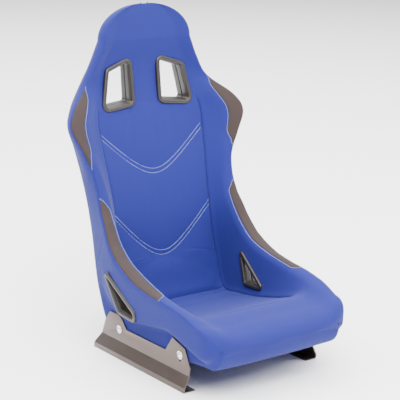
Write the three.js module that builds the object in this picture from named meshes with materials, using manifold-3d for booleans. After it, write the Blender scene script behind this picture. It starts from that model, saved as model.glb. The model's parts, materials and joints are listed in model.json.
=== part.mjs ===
// Fixed-back racing seat: a tubular steel frame in moulded foam, sewn covers, two harness
// openings, two lap-belt openings and a pair of bolt-on steel side mounts.
// Millimetres, +Z up, the sitter faces -Y. The origin is at the middle of the seat, on the floor.
import * as THREE from 'three';
import { mergeVertices } from 'three/addons/utils/BufferGeometryUtils.js';
import Module from 'manifold-3d';

const wasm = await Module();
wasm.setup();

// ------------------------------------------------------------------ driving dimensions
const GAP = 0.3; // air between neighbouring pieces
const SEAM_U = 0.008; // half a seam's width along the seat, in stations
const SEAM_V = 0.008; // half a seam's width around a section, in rails

const CUSHION_FOAM = 20;
const BACK_FOAM = 16;
const BOLSTER_FOAM = 6;
const SIDE_FOAM = 4;
const REAR_SHELL = 4;

const MOUNT_HALF_WIDTH = 213.3; // inner face of each side bracket
const SHEET = 3; // bracket steel
const BOLT_R = 4;
const BOLT_REAR = { y: 126, z: 81 };
const BOLT_FRONT = { y: -165, z: 94 };
const SLOT_UP = 5; // front bolt slot above and below the bolt's centre
const SLOT_DOWN = 14;

const PERIMETER_R = 7;
const RAIL_R = 8;
const CROSS_R = 7;
const TUBE_SIDES = 8;

// Cross-sections from the front lip to the crown. Each has eight corners on its right half:
// centre, valley seam, inner crest, outer crest | knee, tuck, rear corner, rear centre.
const STATIONS = [
  [[0, -340, 148], [150, -339, 148], [188, -332, 148], [208, -325, 148],
    [214, -322, 147], [212, -322, 146], [198, -328, 145], [0, -340, 145]],
  [[0, -278, 190], [170, -278, 191], [216, -272, 206], [247, -266, 206],
    [242, -272, 124], [213, -278, 104], [208, -290, 86], [0, -290, 82]],
  [[0, -205, 192], [178, -205, 197], [218, -208, 226], [253, -212, 228],
    [247, -207, 142], [212.4, -207, 136], [212, -207, 80], [0, -207, 72]],
  [[0, -140, 163], [184, -140, 172], [218, -132, 239], [259, -138, 243],
    [250, -140, 159], [212.4, -140, 152], [212, -140, 72], [0, -140, 64]],
  [[0, -60, 133], [188, -60, 149], [214, -66, 252], [260, -66, 251],
    [251, -62, 151], [212.4, -60, 142], [212, -60, 67], [0, -60, 60]],
  [[0, 25, 115], [190, 25, 130], [207, 5, 270], [260, 5, 266],
    [251, 16, 144], [212.4, 20, 132], [212, 25, 64], [0, 25, 58]],
  [[0, 105, 108], [191, 100, 120], [204, 69, 291], [258, 77, 300],
    [249, 92, 148], [212.4, 100, 134], [212, 115, 62], [0, 118, 56]],
  [[0, 178, 116], [190, 172, 120], [204, 113, 324], [257, 114, 330],
    [243, 146, 188], [213, 170, 140], [211, 202, 76], [0, 205, 62]],
  [[0, 210, 200], [186, 200, 206], [203, 140, 352], [254, 137, 359],
    [242, 178, 264], [227, 218, 206], [215, 238, 170], [0, 246, 160]],
  [[0, 224, 277], [176, 211, 280], [202, 160, 380], [249, 156, 390],
    [240, 195, 326], [229, 235, 282], [216, 256, 256], [0, 266, 250]],
  [[0, 240, 358], [168, 219, 360], [203, 178, 410], [245, 175, 416],
    [238, 212, 386], [229, 248, 362], [217, 276, 350], [0, 287, 344]],
  [[0, 259, 437], [169, 237, 437], [208, 199, 460], [241, 194, 463],
    [238, 228, 447], [231, 265, 430], [220, 295, 424], [0, 307, 418]],
  [[0, 275, 505], [173, 254, 505], [224, 214, 520], [247, 211, 520],
    [248, 242, 508], [238, 282, 496], [226, 312, 490], [0, 324, 485]],
  [[0, 296, 575], [178, 272, 575], [238, 233, 580], [273, 217, 578],
    [274, 245, 572], [255, 292, 565], [235, 330, 560], [0, 342, 555]],
  [[0, 312, 640], [181, 289, 640], [248, 244, 645], [303, 230, 642],
    [300, 256, 640], [271, 308, 635], [243, 344, 632], [0, 357, 628]],
  [[0, 322, 688], [172, 302, 688], [227, 266, 691], [281, 254, 690],
    [278, 279, 688], [256, 317, 684], [235, 351, 682], [0, 362, 680]],
  [[0, 331, 745], [160, 317, 745], [196, 306, 745], [214, 300, 745],
    [219, 320, 745], [209, 341, 745], [198, 359, 745], [0, 368, 745]],
  [[0, 331, 800], [140, 321, 800], [161, 311, 800], [180, 304, 800],
    [185, 323, 800], [178, 343, 800], [164, 361, 800], [0, 370, 800]],
  [[0, 317, 866], [106, 313, 866], [127, 307, 866], [150, 301, 866],
    [154, 321, 866], [149, 342, 866], [135, 359, 866], [0, 366, 866]],
  [[0, 322, 966], [8, 322, 966], [11, 322, 966], [14, 322, 966],
    [15, 323, 966], [14, 324, 966], [10, 325, 966], [0, 325, 966]],
];
const CORNER_CUTS = [200, 24, 24, 24, 16, 16, 16, 200]; // how far each corner is cut to round it
const CENTRE = 0;
const VALLEY = 1;
const CREST_IN = 2;
const CREST_OUT = 3;
const CREST_SEAM = 3.05; // the cover's outer seam, just past the crest
const TUCK = 5;
const CORNER = 6;
const REAR = 7;
const NOSE = 1; // station where the round front lip starts
const CROWN = STATIONS.length - 2; // station where the round top starts
const HIP = 7;
const WAIST = 11.8;
const SIDE_SPLIT = 8.5;
const ROLL_END = 2.2;
const YOKE = 14.6;
const HEAD = 17.4;
// The wear patches: their inner edge swings in from the crest seam and back to it.
const THIGH_PATCH = { from: 3.48, to: 10.72, fade: 0.35 };
const SHOULDER_PATCH = { from: 12.55, to: 15.8, fade: 0.9 };
const PATCH_ROWS = [THIGH_PATCH, SHOULDER_PATCH].flatMap(({ from, to }) => [
  from - SEAM_U, from + SEAM_U, from + 3 * SEAM_U, to - 3 * SEAM_U, to - SEAM_U, to + SEAM_U]);
const SAMPLES = [...Array(18).keys(), ROLL_END, 6.5, 7.5, SIDE_SPLIT, WAIST, YOKE, HEAD,
  ...PATCH_ROWS].sort((a, b) => a - b);

// ------------------------------------------------------------------ materials
const material = (color, roughness, metalness) =>
  new THREE.MeshStandardMaterial({ color, roughness, metalness });
const BLUE_CLOTH = material(0x4f6cb8, 0.85, 0);
const GREY_CLOTH = material(0x6b5f5c, 0.9, 0);
const BLACK_PLASTIC = material(0x3a302c, 0.4, 0);
const BLACK_STEEL = material(0x3f3835, 0.45, 0.3);
const FRAME_STEEL = material(0x2c2c2e, 0.5, 0.4);
const ZINC = material(0xd8dade, 0.3, 0.9);
const WEBBING = material(0x1c1c1e, 0.9, 0);

const seat = new THREE.Group();
function addPart(name, geometry, partMaterial) {
  const mesh = new THREE.Mesh(geometry, partMaterial);
  mesh.name = name;
  seat.add(mesh);
}

// ------------------------------------------------------------------ joining and cutting
function toManifold(geometry) {
  const bare = geometry.clone();
  bare.deleteAttribute('normal');
  bare.deleteAttribute('uv');
  const merged = mergeVertices(bare, 1e-4);
  return new wasm.Manifold(new wasm.Mesh({
    numProp: 3,
    vertProperties: new Float32Array(merged.attributes.position.array),
    triVerts: new Uint32Array(merged.index.array),
  }));
}

function toGeometry(solid) {
  const mesh = solid.getMesh();
  const geometry = new THREE.BufferGeometry();
  geometry.setAttribute('position', new THREE.BufferAttribute(mesh.vertProperties, 3));
  geometry.setIndex(new THREE.BufferAttribute(mesh.triVerts, 1));
  geometry.computeVertexNormals();
  return geometry;
}

const cut = (geometry, tools) => toGeometry(
  tools.reduce((solid, tool) => solid.subtract(toManifold(tool)), toManifold(geometry)));
const join = (geometries) => toGeometry(
  geometries.map(toManifold).reduce((whole, piece) => whole.add(piece)));

const mirrored = (point) => new THREE.Vector3(-point.x, point.y, point.z);
const toVectors = (row) => row.map((p) => new THREE.Vector3(...p));
const CORNERS = STATIONS.map(toVectors);

// ------------------------------------------------------------------ the lofted skin
// The eight corners of the section at u, where u counts stations. The lip and the crown are
// quarter ellipses from the nearest full section to their end line.
function sectionAt(u) {
  if (u < NOSE) return roundEnd(CORNERS[NOSE], CORNERS[0], u / NOSE, 'y');
  if (u > CROWN) return roundEnd(CORNERS[CROWN], CORNERS[CROWN + 1], CROWN + 1 - u, 'z');
  const i = Math.min(Math.floor(u), CROWN - 1);
  const t = u - i;
  return CORNERS[i].map((_, k) => {
    const p1 = CORNERS[i][k];
    const p2 = CORNERS[i + 1][k];
    const p0 = i > NOSE ? CORNERS[i - 1][k] : p1.clone().multiplyScalar(2).sub(p2);
    const p3 = i + 2 <= CROWN ? CORNERS[i + 2][k] : p2.clone().multiplyScalar(2).sub(p1);
    const spline = (a, b, c, d) => 0.5 * (2 * b + (c - a) * t
      + (2 * a - 5 * b + 4 * c - d) * t * t + (3 * b - a - 3 * c + d) * t * t * t);
    return new THREE.Vector3(spline(p0.x, p1.x, p2.x, p3.x),
      spline(p0.y, p1.y, p2.y, p3.y), spline(p0.z, p1.z, p2.z, p3.z));
  });
}

function roundEnd(full, end, share, along) {
  const angle = share * Math.PI / 2;
  return full.map((p, k) => {
    const point = p.clone().lerp(end[k], 1 - Math.sin(angle));
    point[along] = THREE.MathUtils.lerp(p[along], end[k][along], Math.cos(angle));
    return point;
  });
}

// A point on the section's outline: v runs from 0 at the front centre to 7 at the rear centre,
// with each corner's rounding centred on its whole number.
function outlineAt(corners, v) {
  const last = corners.length - 1;
  const at = (k) => {
    if (k < 0) return mirrored(corners[-k]);
    return k > last ? mirrored(corners[2 * last - k]) : corners[k];
  };
  const reach = (k, other) => {
    const share = k === CENTRE || k === REAR ? 0.8 : 0.45;
    const nearest = Math.min(at(k).distanceTo(at(k - 1)), at(k).distanceTo(at(k + 1)));
    const cutLength = Math.min(CORNER_CUTS[k], share * nearest);
    return at(k).clone().add(at(other).clone().sub(at(k)).setLength(Math.max(cutLength, 1e-6)));
  };
  const k = Math.min(Math.floor(v), last);
  const f = v - k;
  const round = (n, t) => {
    const a = reach(n, n - 1);
    const b = reach(n, n + 1);
    return a.multiplyScalar((1 - t) ** 2).addScaledVector(at(n), 2 * t * (1 - t))
      .addScaledVector(b, t * t);
  };
  if (f <= 0.25) return round(k, 0.5 + 2 * f);
  if (f >= 0.75) return round(k + 1, 2 * (f - 0.75));
  return reach(k, k + 1).lerp(reach(k + 1, k), (f - 0.25) / 0.5);
}

// v below 0 is the left half of the front, v above 7 the left half of the rear.
function skin(u, v) {
  const corners = sectionAt(u);
  if (v < 0) return mirrored(outlineAt(corners, -v));
  return v > REAR ? mirrored(outlineAt(corners, 2 * REAR - v)) : outlineAt(corners, v);
}

// The skin's normal, kept in the section so that the foam's end faces stay flat.
function outwardNormal(u, v) {
  const step = 0.01;
  const alongU = skin(u + step, v).sub(skin(u - step, v));
  const alongV = skin(u, v + step).sub(skin(u, v - step));
  const corners = sectionAt(u);
  const through = corners[CENTRE].clone().sub(corners[REAR]);
  const spine = new THREE.Vector3(1, 0, 0).cross(through).normalize();
  const normal = alongV.cross(alongU);
  return normal.addScaledVector(spine, -normal.dot(spine)).normalize();
}

// The stations that every panel is sampled at, so that neighbours share their facets.
const sampled = (from, to) => [from,
  ...SAMPLES.filter((u) => u > from + SEAM_U && u < to - SEAM_U), to];

function closedGrid(outer, inner) {
  const rows = outer.length;
  const columns = outer[0].length;
  const last = columns - 1;
  const points = [...outer.flat(), ...inner.flat()];
  const out = (i, j) => i * columns + j;
  const inn = (i, j) => rows * columns + out(i, j);
  const index = [];
  const quad = (a, b, c, d) => index.push(a, b, c, a, c, d);
  for (let i = 0; i < rows - 1; i += 1) {
    for (let j = 0; j < columns - 1; j += 1) {
      quad(out(i, j), out(i, j + 1), out(i + 1, j + 1), out(i + 1, j));
      quad(inn(i, j), inn(i + 1, j), inn(i + 1, j + 1), inn(i, j + 1));
    }
    quad(out(i, 0), out(i + 1, 0), inn(i + 1, 0), inn(i, 0));
    quad(out(i, last), inn(i, last), inn(i + 1, last), out(i + 1, last));
  }
  for (let j = 0; j < columns - 1; j += 1) {
    quad(out(0, j + 1), out(0, j), inn(0, j), inn(0, j + 1));
    quad(out(rows - 1, j), out(rows - 1, j + 1), inn(rows - 1, j + 1), inn(rows - 1, j));
  }
  const geometry = new THREE.BufferGeometry();
  geometry.setFromPoints(points);
  geometry.setIndex(index);
  geometry.computeVertexNormals();
  return geometry;
}

// One foam-backed cover panel: the skin between two stations, with thickness. columns(u) gives
// the v of each column, from the panel's one seam to the other.
function panel(from, to, columns, thickness) {
  const outer = [];
  const inner = [];
  sampled(from + SEAM_U, to - SEAM_U).forEach((u) => {
    const row = columns(u);
    row[0] += SEAM_V;
    row[row.length - 1] -= SEAM_V;
    outer.push(row.map((v) => skin(u, v)));
    inner.push(row.map((v, j) => outer.at(-1)[j].clone()
      .addScaledVector(outwardNormal(u, v), -thickness)));
  });
  return closedGrid(outer, inner);
}

const FRONT_COLUMNS = () => [-1, -0.25, -0.13, 0, 0.13, 0.25, 1];
const REAR_COLUMNS = () => [6, 6.75, 6.87, 7, 7.13, 7.25, 8];
const WALL_COLUMNS = (u) => [VALLEY, 1.25, 1.75, 2, patchEdge(u)];
const CREST_COLUMNS = (u) => [0, 0.33, 0.67, 1].map(
  (share) => THREE.MathUtils.lerp(patchEdge(u), CREST_SEAM, share));
const SIDE_COLUMNS = () => [CREST_SEAM, 3.3, 3.8, 4.1, 4.9, 5.2, 5.75, CORNER];

// A solid foam end of the seat, closed by flat caps: the front roll and the headrest.
function foamEnd(stations) {
  const half = [0, 0.13, 0.25, 1, 1.25, 1.75, 2, 2.5, CREST_SEAM, 3.3, 3.8, 4.1, 4.9, 5.2, 5.75,
    6, 6.75, 6.87, 7];
  const loop = [...half, ...half.slice(1, -1).reverse().map((v) => 2 * REAR - v)];
  const rings = stations.map((u) => loop.map((v) => skin(u, v)));
  const count = loop.length;
  const index = [];
  for (let i = 0; i < rings.length - 1; i += 1) {
    for (let j = 0; j < count; j += 1) {
      const next = (j + 1) % count;
      const [a, b] = [i * count + j, i * count + next];
      index.push(a, b, b + count, a, b + count, a + count);
    }
  }
  // Each cap is drawn flat: x across, and the way from the ring's rear centre to its front.
  const cap = (start, facesBack) => {
    const ring = rings[start / count];
    const through = ring[0].clone().sub(ring[count / 2]).normalize();
    const flat = ring.map((p) => new THREE.Vector2(p.x, p.dot(through)));
    THREE.ShapeUtils.triangulateShape(flat, []).forEach(([a, b, c]) => {
      if (facesBack) index.push(start + a, start + c, start + b);
      else index.push(start + a, start + b, start + c);
    });
  };
  cap(0, false);
  cap((rings.length - 1) * count, true);
  const geometry = new THREE.BufferGeometry();
  geometry.setFromPoints(rings.flat());
  geometry.setIndex(index);
  return geometry;
}

// ------------------------------------------------------------------ tubes and plates
const circle = (radius, centre = [0, 0]) => {
  const shape = new THREE.Shape();
  shape.absarc(centre[0], centre[1], radius, 0, Math.PI * 2);
  return shape;
};

function bentTube(points, radius, steps) {
  const path = new THREE.CatmullRomCurve3(points, false, 'centripetal');
  return new THREE.ExtrudeGeometry(circle(radius), {
    steps, extrudePath: path, curveSegments: TUBE_SIDES / 2, bevelEnabled: false,
  });
}

function crossTube(halfLength, y, z, radius) {
  const tube = new THREE.CylinderGeometry(radius, radius, 2 * halfLength, TUBE_SIDES);
  return tube.rotateZ(Math.PI / 2).translate(0, y, z);
}

// The tube in the bolsters lies below the crest, towards the foot of the wall.
function perimeterPoint(u, side) {
  const corners = sectionAt(u);
  const towardsNeck = THREE.MathUtils.smoothstep(u, 15, 16.5);
  const crest = corners[CREST_IN].clone().lerp(corners[CREST_OUT], 0.5);
  const foot = corners[VALLEY].clone().lerp(corners[TUCK], 0.72 - 0.08 * towardsNeck);
  const depth = 36 - 8 * towardsNeck;
  const point = crest.clone().add(foot.sub(crest).setLength(depth));
  point.x *= side;
  return point;
}

// ------------------------------------------------------------------ bezels round the openings
// Finds the point of the skin near (u, v) that has the two given coordinates.
function pointOnSkin(start, keys, target) {
  let [u, v] = start;
  for (let turn = 0; turn < 30; turn += 1) {
    const here = skin(u, v);
    const h = 0.002;
    const du = skin(u + h, v).sub(here).divideScalar(h);
    const dv = skin(u, v + h).sub(here).divideScalar(h);
    const [ex, ey] = keys.map((key, k) => target[k] - here[key]);
    const det = du[keys[0]] * dv[keys[1]] - du[keys[1]] * dv[keys[0]];
    u += THREE.MathUtils.clamp((ex * dv[keys[1]] - ey * dv[keys[0]]) / det, -0.4, 0.4);
    v += THREE.MathUtils.clamp((du[keys[0]] * ey - du[keys[1]] * ex) / det, -0.2, 0.2);
  }
  return skin(u, v);
}

// The plane through the rim's corners, as a frame with its z axis out of the skin.
function rimFrame(corners, outward) {
  const centre = corners.reduce((sum, p) => sum.add(p), new THREE.Vector3())
    .divideScalar(corners.length);
  const first = corners[0].clone().sub(corners[1]);
  const normal = first.clone().cross(corners[2].clone().sub(corners[1])).normalize();
  if (normal.dot(outward) < 0) normal.negate();
  const up = new THREE.Vector3(0, 0, 1).addScaledVector(normal, -normal.z).normalize();
  const across = up.clone().cross(normal);
  const matrix = new THREE.Matrix4().makeBasis(across, up, normal).setPosition(centre);
  const inverse = matrix.clone().invert();
  const outline = corners.map((p) => {
    const q = p.clone().applyMatrix4(inverse);
    return new THREE.Vector2(q.x, q.y);
  });
  if (THREE.ShapeUtils.area(outline) < 0) outline.reverse();
  return { matrix, outline };
}

// Moves each side of a convex outline outwards by a distance.
function offsetOutline(outline, distance) {
  const count = outline.length;
  return outline.map((point, k) => {
    const before = point.clone().sub(outline[(k + count - 1) % count]).normalize();
    const after = outline[(k + 1) % count].clone().sub(point).normalize();
    const normalBefore = new THREE.Vector2(before.y, -before.x);
    const normalAfter = new THREE.Vector2(after.y, -after.x);
    const bisector = normalBefore.clone().add(normalAfter).normalize();
    return point.clone().addScaledVector(bisector, distance / bisector.dot(normalBefore));
  });
}

function roundedPath(path, outline, radius) {
  const count = outline.length;
  outline.forEach((point, k) => {
    const towards = (other) => {
      const side = other.clone().sub(point);
      return point.clone().addScaledVector(side.clone().normalize(),
        Math.min(radius, side.length() * 0.45));
    };
    const start = towards(outline[(k + count - 1) % count]);
    const end = towards(outline[(k + 1) % count]);
    if (k === 0) path.moveTo(start.x, start.y);
    else path.lineTo(start.x, start.y);
    path.quadraticCurveTo(point.x, point.y, end.x, end.y);
  });
  path.closePath();
  return path;
}

const RIM = { width: 9, proud: 4, recess: 1, wall: 2.5, corner: 20 };

function prism(frame, outline, radius, low, high) {
  const shape = roundedPath(new THREE.Shape(), outline, radius);
  return new THREE.ExtrudeGeometry(shape, {
    depth: high - low, bevelEnabled: false, curveSegments: 2,
  }).translate(0, 0, low).applyMatrix4(frame.matrix);
}

function bezel(frame, sleeveLength) {
  const inside = offsetOutline(frame.outline, -RIM.width);
  const innerCorner = RIM.corner * 0.6;
  const rim = prism(frame, frame.outline, RIM.corner, -RIM.recess, RIM.proud * 0.5);
  const crown = prism(frame, offsetOutline(frame.outline, -2), RIM.corner * 0.85,
    RIM.proud * 0.5 - 0.2, RIM.proud);
  const sleeve = prism(frame, offsetOutline(inside, RIM.wall), innerCorner + RIM.wall,
    -sleeveLength, 0);
  const hole = prism(frame, inside, innerCorner, -sleeveLength - 5, RIM.proud + 5);
  return cut(join([rim, crown, sleeve]), [hole]);
}

// What a bezel needs out of the panel that it sits in.
function bezelCutters(frame) {
  const inside = offsetOutline(frame.outline, -RIM.width + RIM.wall + 2 * GAP);
  return [
    prism(frame, offsetOutline(frame.outline, 2 * GAP), RIM.corner, -RIM.recess - GAP, 40),
    prism(frame, inside, RIM.corner * 0.6 + RIM.wall, -60, 0),
  ];
}

// ------------------------------------------------------------------ where the openings are
const HARNESS_CORNERS = [[45, 806], [132, 789], [156, 669], [43, 686]]; // x, z
const BELT_CORNERS = [[120, 263], [80, 150], [-24, 152]]; // y, z
const FORWARD = new THREE.Vector3(0, -1, 0);
const harnessFrame = (side, face) => rimFrame(HARNESS_CORNERS.map(([x, z]) => pointOnSkin(
  face === 'front' ? [15.5, side * 0.5] : [15.5, REAR - side * 0.5], ['x', 'z'], [side * x, z])),
face === 'front' ? FORWARD : FORWARD.clone().negate());
const beltFrame = (side, face) => rimFrame(BELT_CORNERS.map(([y, z]) => pointOnSkin(
  face === 'inner' ? [6.5, side * 1.5] : [6.5, side > 0 ? 3.6 : -3.6], ['y', 'z'], [y, z])),
new THREE.Vector3(face === 'inner' ? -side : side, 0, 0));

const SIDES = [['left', 1], ['right', -1]]; // the sitter's left is +X
const HARNESS_SLEEVE = { front: 17, rear: 15 };
const BELT_SLEEVE = { inner: 24, outer: 20 };

// ------------------------------------------------------------------ frame
const perimeterPath = () => {
  const rise = [2.2, 3, 4, 5, 6, 7, 8, 9, 10, 11, 12, 13, 14, 15, 16, 17, 18];
  const sidePoints = (side) => [
    new THREE.Vector3(side * 204, -240, 118),
    new THREE.Vector3(side * 216, -228, 165),
    ...rise.map((u) => perimeterPoint(u, side)),
    new THREE.Vector3(side * 84, 333, 915),
  ];
  return [...sidePoints(1), new THREE.Vector3(0, 333, 930), ...sidePoints(-1).reverse()];
};

// Each rail runs between the pads and the rear cover: station, x, and its share of the way back.
const RAIL = [[2.2, 190, 0.87], [3, 190, 0.85], [4, 190, 0.77], [5, 190, 0.71], [6, 190, 0.64],
  [7, 190, 0.6], [7.5, 190, 0.6], [8, 192, 0.6], [9, 199, 0.6], [10, 203, 0.6], [11, 206, 0.6],
  [12, 210, 0.6], [13, 214, 0.6], [14, 217, 0.6], [14.8, 212, 0.55]];
const railPath = (side) => [new THREE.Vector3(190 * side, -255, 92), ...RAIL.map(([u, x, share]) => {
  const corners = sectionAt(u);
  return corners[VALLEY].clone().lerp(corners[CORNER], share).setX(side * x);
})];

const CROSS_TUBES = [
  { name: 'front_cross_tube', half: 196, y: -240, z: 120 },
  { name: 'seat_cross_tube', half: 180, y: 100, z: 74 },
  { name: 'lumbar_cross_tube', half: 188, y: 253.5, z: 300 },
  { name: 'shoulder_cross_tube', half: 206, y: 334, z: 632 },
];

const perimeterTube = (extra) => bentTube(perimeterPath(), PERIMETER_R + extra, 54);
const sideRail = (side, extra) => bentTube(railPath(side), RAIL_R + extra, 22);

// ------------------------------------------------------------------ upholstery panels
function patchEdge(u) {
  const patch = u < WAIST ? THIGH_PATCH : SHOULDER_PATCH;
  const { from, to, fade } = patch;
  if (u < from || u > to) return CREST_SEAM;
  const fadeIn = THREE.MathUtils.smoothstep(u, from - fade / 2, from + fade);
  const fadeOut = THREE.MathUtils.smoothstep(-u, -to - fade / 2, -to + fade);
  return CREST_SEAM - 0.96 * Math.min(fadeIn, fadeOut);
}

function addSeatHalf(sideName, side) {
  const onSide = (columns) => (u) => (side > 0 ? columns(u) : columns(u).map((v) => -v).reverse());
  const wall = (from, to) => panel(from, to, onSide(WALL_COLUMNS), BOLSTER_FOAM);
  addPart(`${sideName}_thigh_bolster`,
    cut(wall(ROLL_END, WAIST), bezelCutters(beltFrame(side, 'inner'))), BLUE_CLOTH);
  addPart(`${sideName}_shoulder_bolster`, wall(WAIST, HEAD), BLUE_CLOTH);

  const patch = ({ from, to }) => panel(from + 2 * SEAM_U, to - 2 * SEAM_U, onSide(CREST_COLUMNS),
    SIDE_FOAM);
  addPart(`${sideName}_thigh_wear_panel`, patch(THIGH_PATCH), GREY_CLOTH);
  addPart(`${sideName}_shoulder_wear_panel`, patch(SHOULDER_PATCH), GREY_CLOTH);

  const outerPanel = (from, to) => panel(from, to, onSide(SIDE_COLUMNS), SIDE_FOAM);
  const bossHoles = [BOLT_REAR, BOLT_FRONT].map(({ y, z }) => {
    const drill = new THREE.CylinderGeometry(BOSS_ROOM, BOSS_ROOM, 40, 12);
    return drill.rotateZ(Math.PI / 2).translate(side * 210, y, z);
  });
  addPart(`${sideName}_side_panel_lower`, cut(outerPanel(ROLL_END, SIDE_SPLIT - SEAM_U),
    [...bezelCutters(beltFrame(side, 'outer')), ...bossHoles]), BLUE_CLOTH);
  addPart(`${sideName}_side_panel_upper`, outerPanel(SIDE_SPLIT, HEAD), BLUE_CLOTH);

  ['front', 'rear'].forEach((face) => addPart(`${sideName}_harness_bezel_${face}`,
    bezel(harnessFrame(side, face), HARNESS_SLEEVE[face]), BLACK_PLASTIC));
  ['inner', 'outer'].forEach((face) => addPart(`${sideName}_belt_bezel_${face}`,
    bezel(beltFrame(side, face), BELT_SLEEVE[face]), BLACK_PLASTIC));
}

function addCentre() {
  const centrePad = (from, to, thickness) => panel(from, to, FRONT_COLUMNS, thickness);
  const frontTube = CROSS_TUBES[0];
  const frameRoom = [perimeterTube(GAP), sideRail(1, GAP), sideRail(-1, GAP),
    crossTube(frontTube.half + 8, frontTube.y, frontTube.z, CROSS_R + GAP)];
  addPart('front_roll',
    cut(foamEnd([0.12, 0.35, 0.65, 1, 1.6, ROLL_END - SEAM_U]), frameRoom), BLUE_CLOTH);
  addPart('seat_cushion', centrePad(ROLL_END, HIP, CUSHION_FOAM), BLUE_CLOTH);
  addPart('back_pad', centrePad(HIP, YOKE, BACK_FOAM), BLUE_CLOTH);
  const frontCutters = SIDES.flatMap(([, side]) => bezelCutters(harnessFrame(side, 'front')));
  addPart('upper_back_pad', cut(centrePad(YOKE, HEAD, BACK_FOAM), frontCutters), BLUE_CLOTH);
  addPart('headrest', cut(foamEnd([HEAD + SEAM_U, CROWN, 18.35, 18.65, 18.88]),
    [perimeterTube(GAP)]), BLUE_CLOTH);
  const rearPanel = (from, to) => panel(from, to, REAR_COLUMNS, REAR_SHELL);
  addPart('base_cover', rearPanel(ROLL_END, HIP), BLUE_CLOTH);
  const rearCutters = SIDES.flatMap(([, side]) => bezelCutters(harnessFrame(side, 'rear')));
  addPart('back_cover', cut(rearPanel(HIP, HEAD), rearCutters), BLUE_CLOTH);
}

// ------------------------------------------------------------------ steelwork
const BOSS_R = 10;
const BOSS_ROOM = BOSS_R + 3 * GAP;
const PLATE = { inner: 198.8, outer: 202.8 };

// Extrudes a shape drawn in (y, z) across the seat, from |x| = inner to |x| = outer.
function acrossPlate(shape, side, inner, outer) {
  const toSide = new THREE.Matrix4().makeBasis(new THREE.Vector3(0, 1, 0),
    new THREE.Vector3(0, 0, 1), new THREE.Vector3(1, 0, 0));
  return new THREE.ExtrudeGeometry(shape, {
    depth: outer - inner, bevelEnabled: false, curveSegments: 5,
  }).applyMatrix4(toSide).translate(side > 0 ? inner : -outer, 0, 0);
}

const outlineShape = (points) => new THREE.Shape(points.map(([a, b]) => new THREE.Vector2(a, b)));

// A steel plate inside the cover with a threaded boss for each bolt.
function addMountingPlate(sideName, side) {
  const bolts = [BOLT_REAR, BOLT_FRONT];
  const boltHole = ({ y, z }) => circle(BOLT_R + GAP, [y, z]);
  const shape = outlineShape([[-182, 87], [-182, 110], [-150, 110], [100, 98], [150, 98],
    [150, 76], [138, 71], [112, 71], [95, 79], [-130, 83]]);
  shape.holes.push(...bolts.map(boltHole));
  const plate = acrossPlate(shape, side, PLATE.inner, PLATE.outer);
  const bosses = bolts.map((bolt) => {
    const ring = circle(BOSS_R, [bolt.y, bolt.z]);
    ring.holes.push(boltHole(bolt));
    return acrossPlate(ring, side, PLATE.outer - 0.5, MOUNT_HALF_WIDTH - 2 * GAP);
  });
  addPart(`${sideName}_mounting_plate`, join([plate, ...bosses]), FRAME_STEEL);
}

function addBracket(sideName, side) {
  const inner = MOUNT_HALF_WIDTH;
  const outer = inner + SHEET;
  const bendHeight = 46;
  const lipHeight = 15;
  const lipOut = 231.5;
  const flangeIn = 193.5;
  const slope = 1.5;
  const profile = [[inner, 135], [outer, 135], [outer, bendHeight], [lipOut, lipHeight],
    [lipOut, 0], [flangeIn, 0], [flangeIn, SHEET], [lipOut - SHEET, SHEET],
    [lipOut - SHEET, lipHeight - slope], [inner, bendHeight - slope]];
  const section = new THREE.Shape(profile.map(([x, z]) => new THREE.Vector2(side * x, z)));
  const length = 480;
  const bar = new THREE.ExtrudeGeometry(section, { depth: length, bevelEnabled: false })
    .rotateX(Math.PI / 2).translate(0, length / 2, 0);
  const outline = outlineShape([[-200, -5], [-207, 8], [-206, 45], [-209, 72], [-187, 117],
    [-129, 133], [-98, 89], [91, 89], [112, 112], [128, 122], [172, 122], [178, 118], [198, 92],
    [216, 47], [232, 20], [236, 10], [236, -5]]);
  const blank = acrossPlate(outline, side, 180, 240);
  const slot = new THREE.Shape();
  const slotR = BOLT_R + 0.5;
  slot.absarc(BOLT_FRONT.y, BOLT_FRONT.z + SLOT_UP, slotR, 0, Math.PI);
  slot.absarc(BOLT_FRONT.y, BOLT_FRONT.z - SLOT_DOWN, slotR, Math.PI, 2 * Math.PI);
  const pivotHole = circle(BOLT_R + 0.4, [BOLT_REAR.y, BOLT_REAR.z]);
  const drills = [slot, pivotHole].map((shape) => acrossPlate(shape, side, 205, 225));
  const floorHoles = [-150, 150].map((y) => new THREE.CylinderGeometry(4.25, 4.25, 12, 12)
    .rotateX(Math.PI / 2).translate(side * 209, y, 0));
  const shaped = toManifold(bar).intersect(toManifold(blank));
  const cutters = [...drills, ...floorHoles];
  addPart(`${sideName}_bracket`, toGeometry(cutters.reduce(
    (solid, tool) => solid.subtract(toManifold(tool)), shaped)), BLACK_STEEL);
}

// Button-head bolt: shank, dome and hexagon socket, head outwards.
function boltGeometry(side, { y, z }) {
  const face = MOUNT_HALF_WIDTH + SHEET + GAP + WASHER.thickness + GAP;
  const profile = [[0, -17], [BOLT_R, -17], [BOLT_R, 0], [7.5, 0], [7.5, 1], [6.2, 3], [4, 4.2],
    [0, 4.6]].map(([r, h]) => new THREE.Vector2(r, h));
  const body = new THREE.LatheGeometry(profile, 10);
  const socket = new THREE.CylinderGeometry(2.6, 2.6, 4, 6).translate(0, 4.2, 0);
  return cut(body, [socket]).rotateZ(-Math.PI / 2 * side).translate(side * face, y, z);
}

const WASHER = { r: 10.5, bore: 4.4, thickness: 1.6 };
function washerGeometry(side, { y, z }) {
  const { r, bore, thickness } = WASHER;
  const ring = new THREE.LatheGeometry([[bore, 0], [r, 0], [r, thickness], [bore, thickness],
    [bore, 0]].map(([a, h]) => new THREE.Vector2(a, h)), 12);
  return ring.rotateZ(-Math.PI / 2 * side)
    .translate(side * (MOUNT_HALF_WIDTH + SHEET + GAP), y, z);
}

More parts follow.
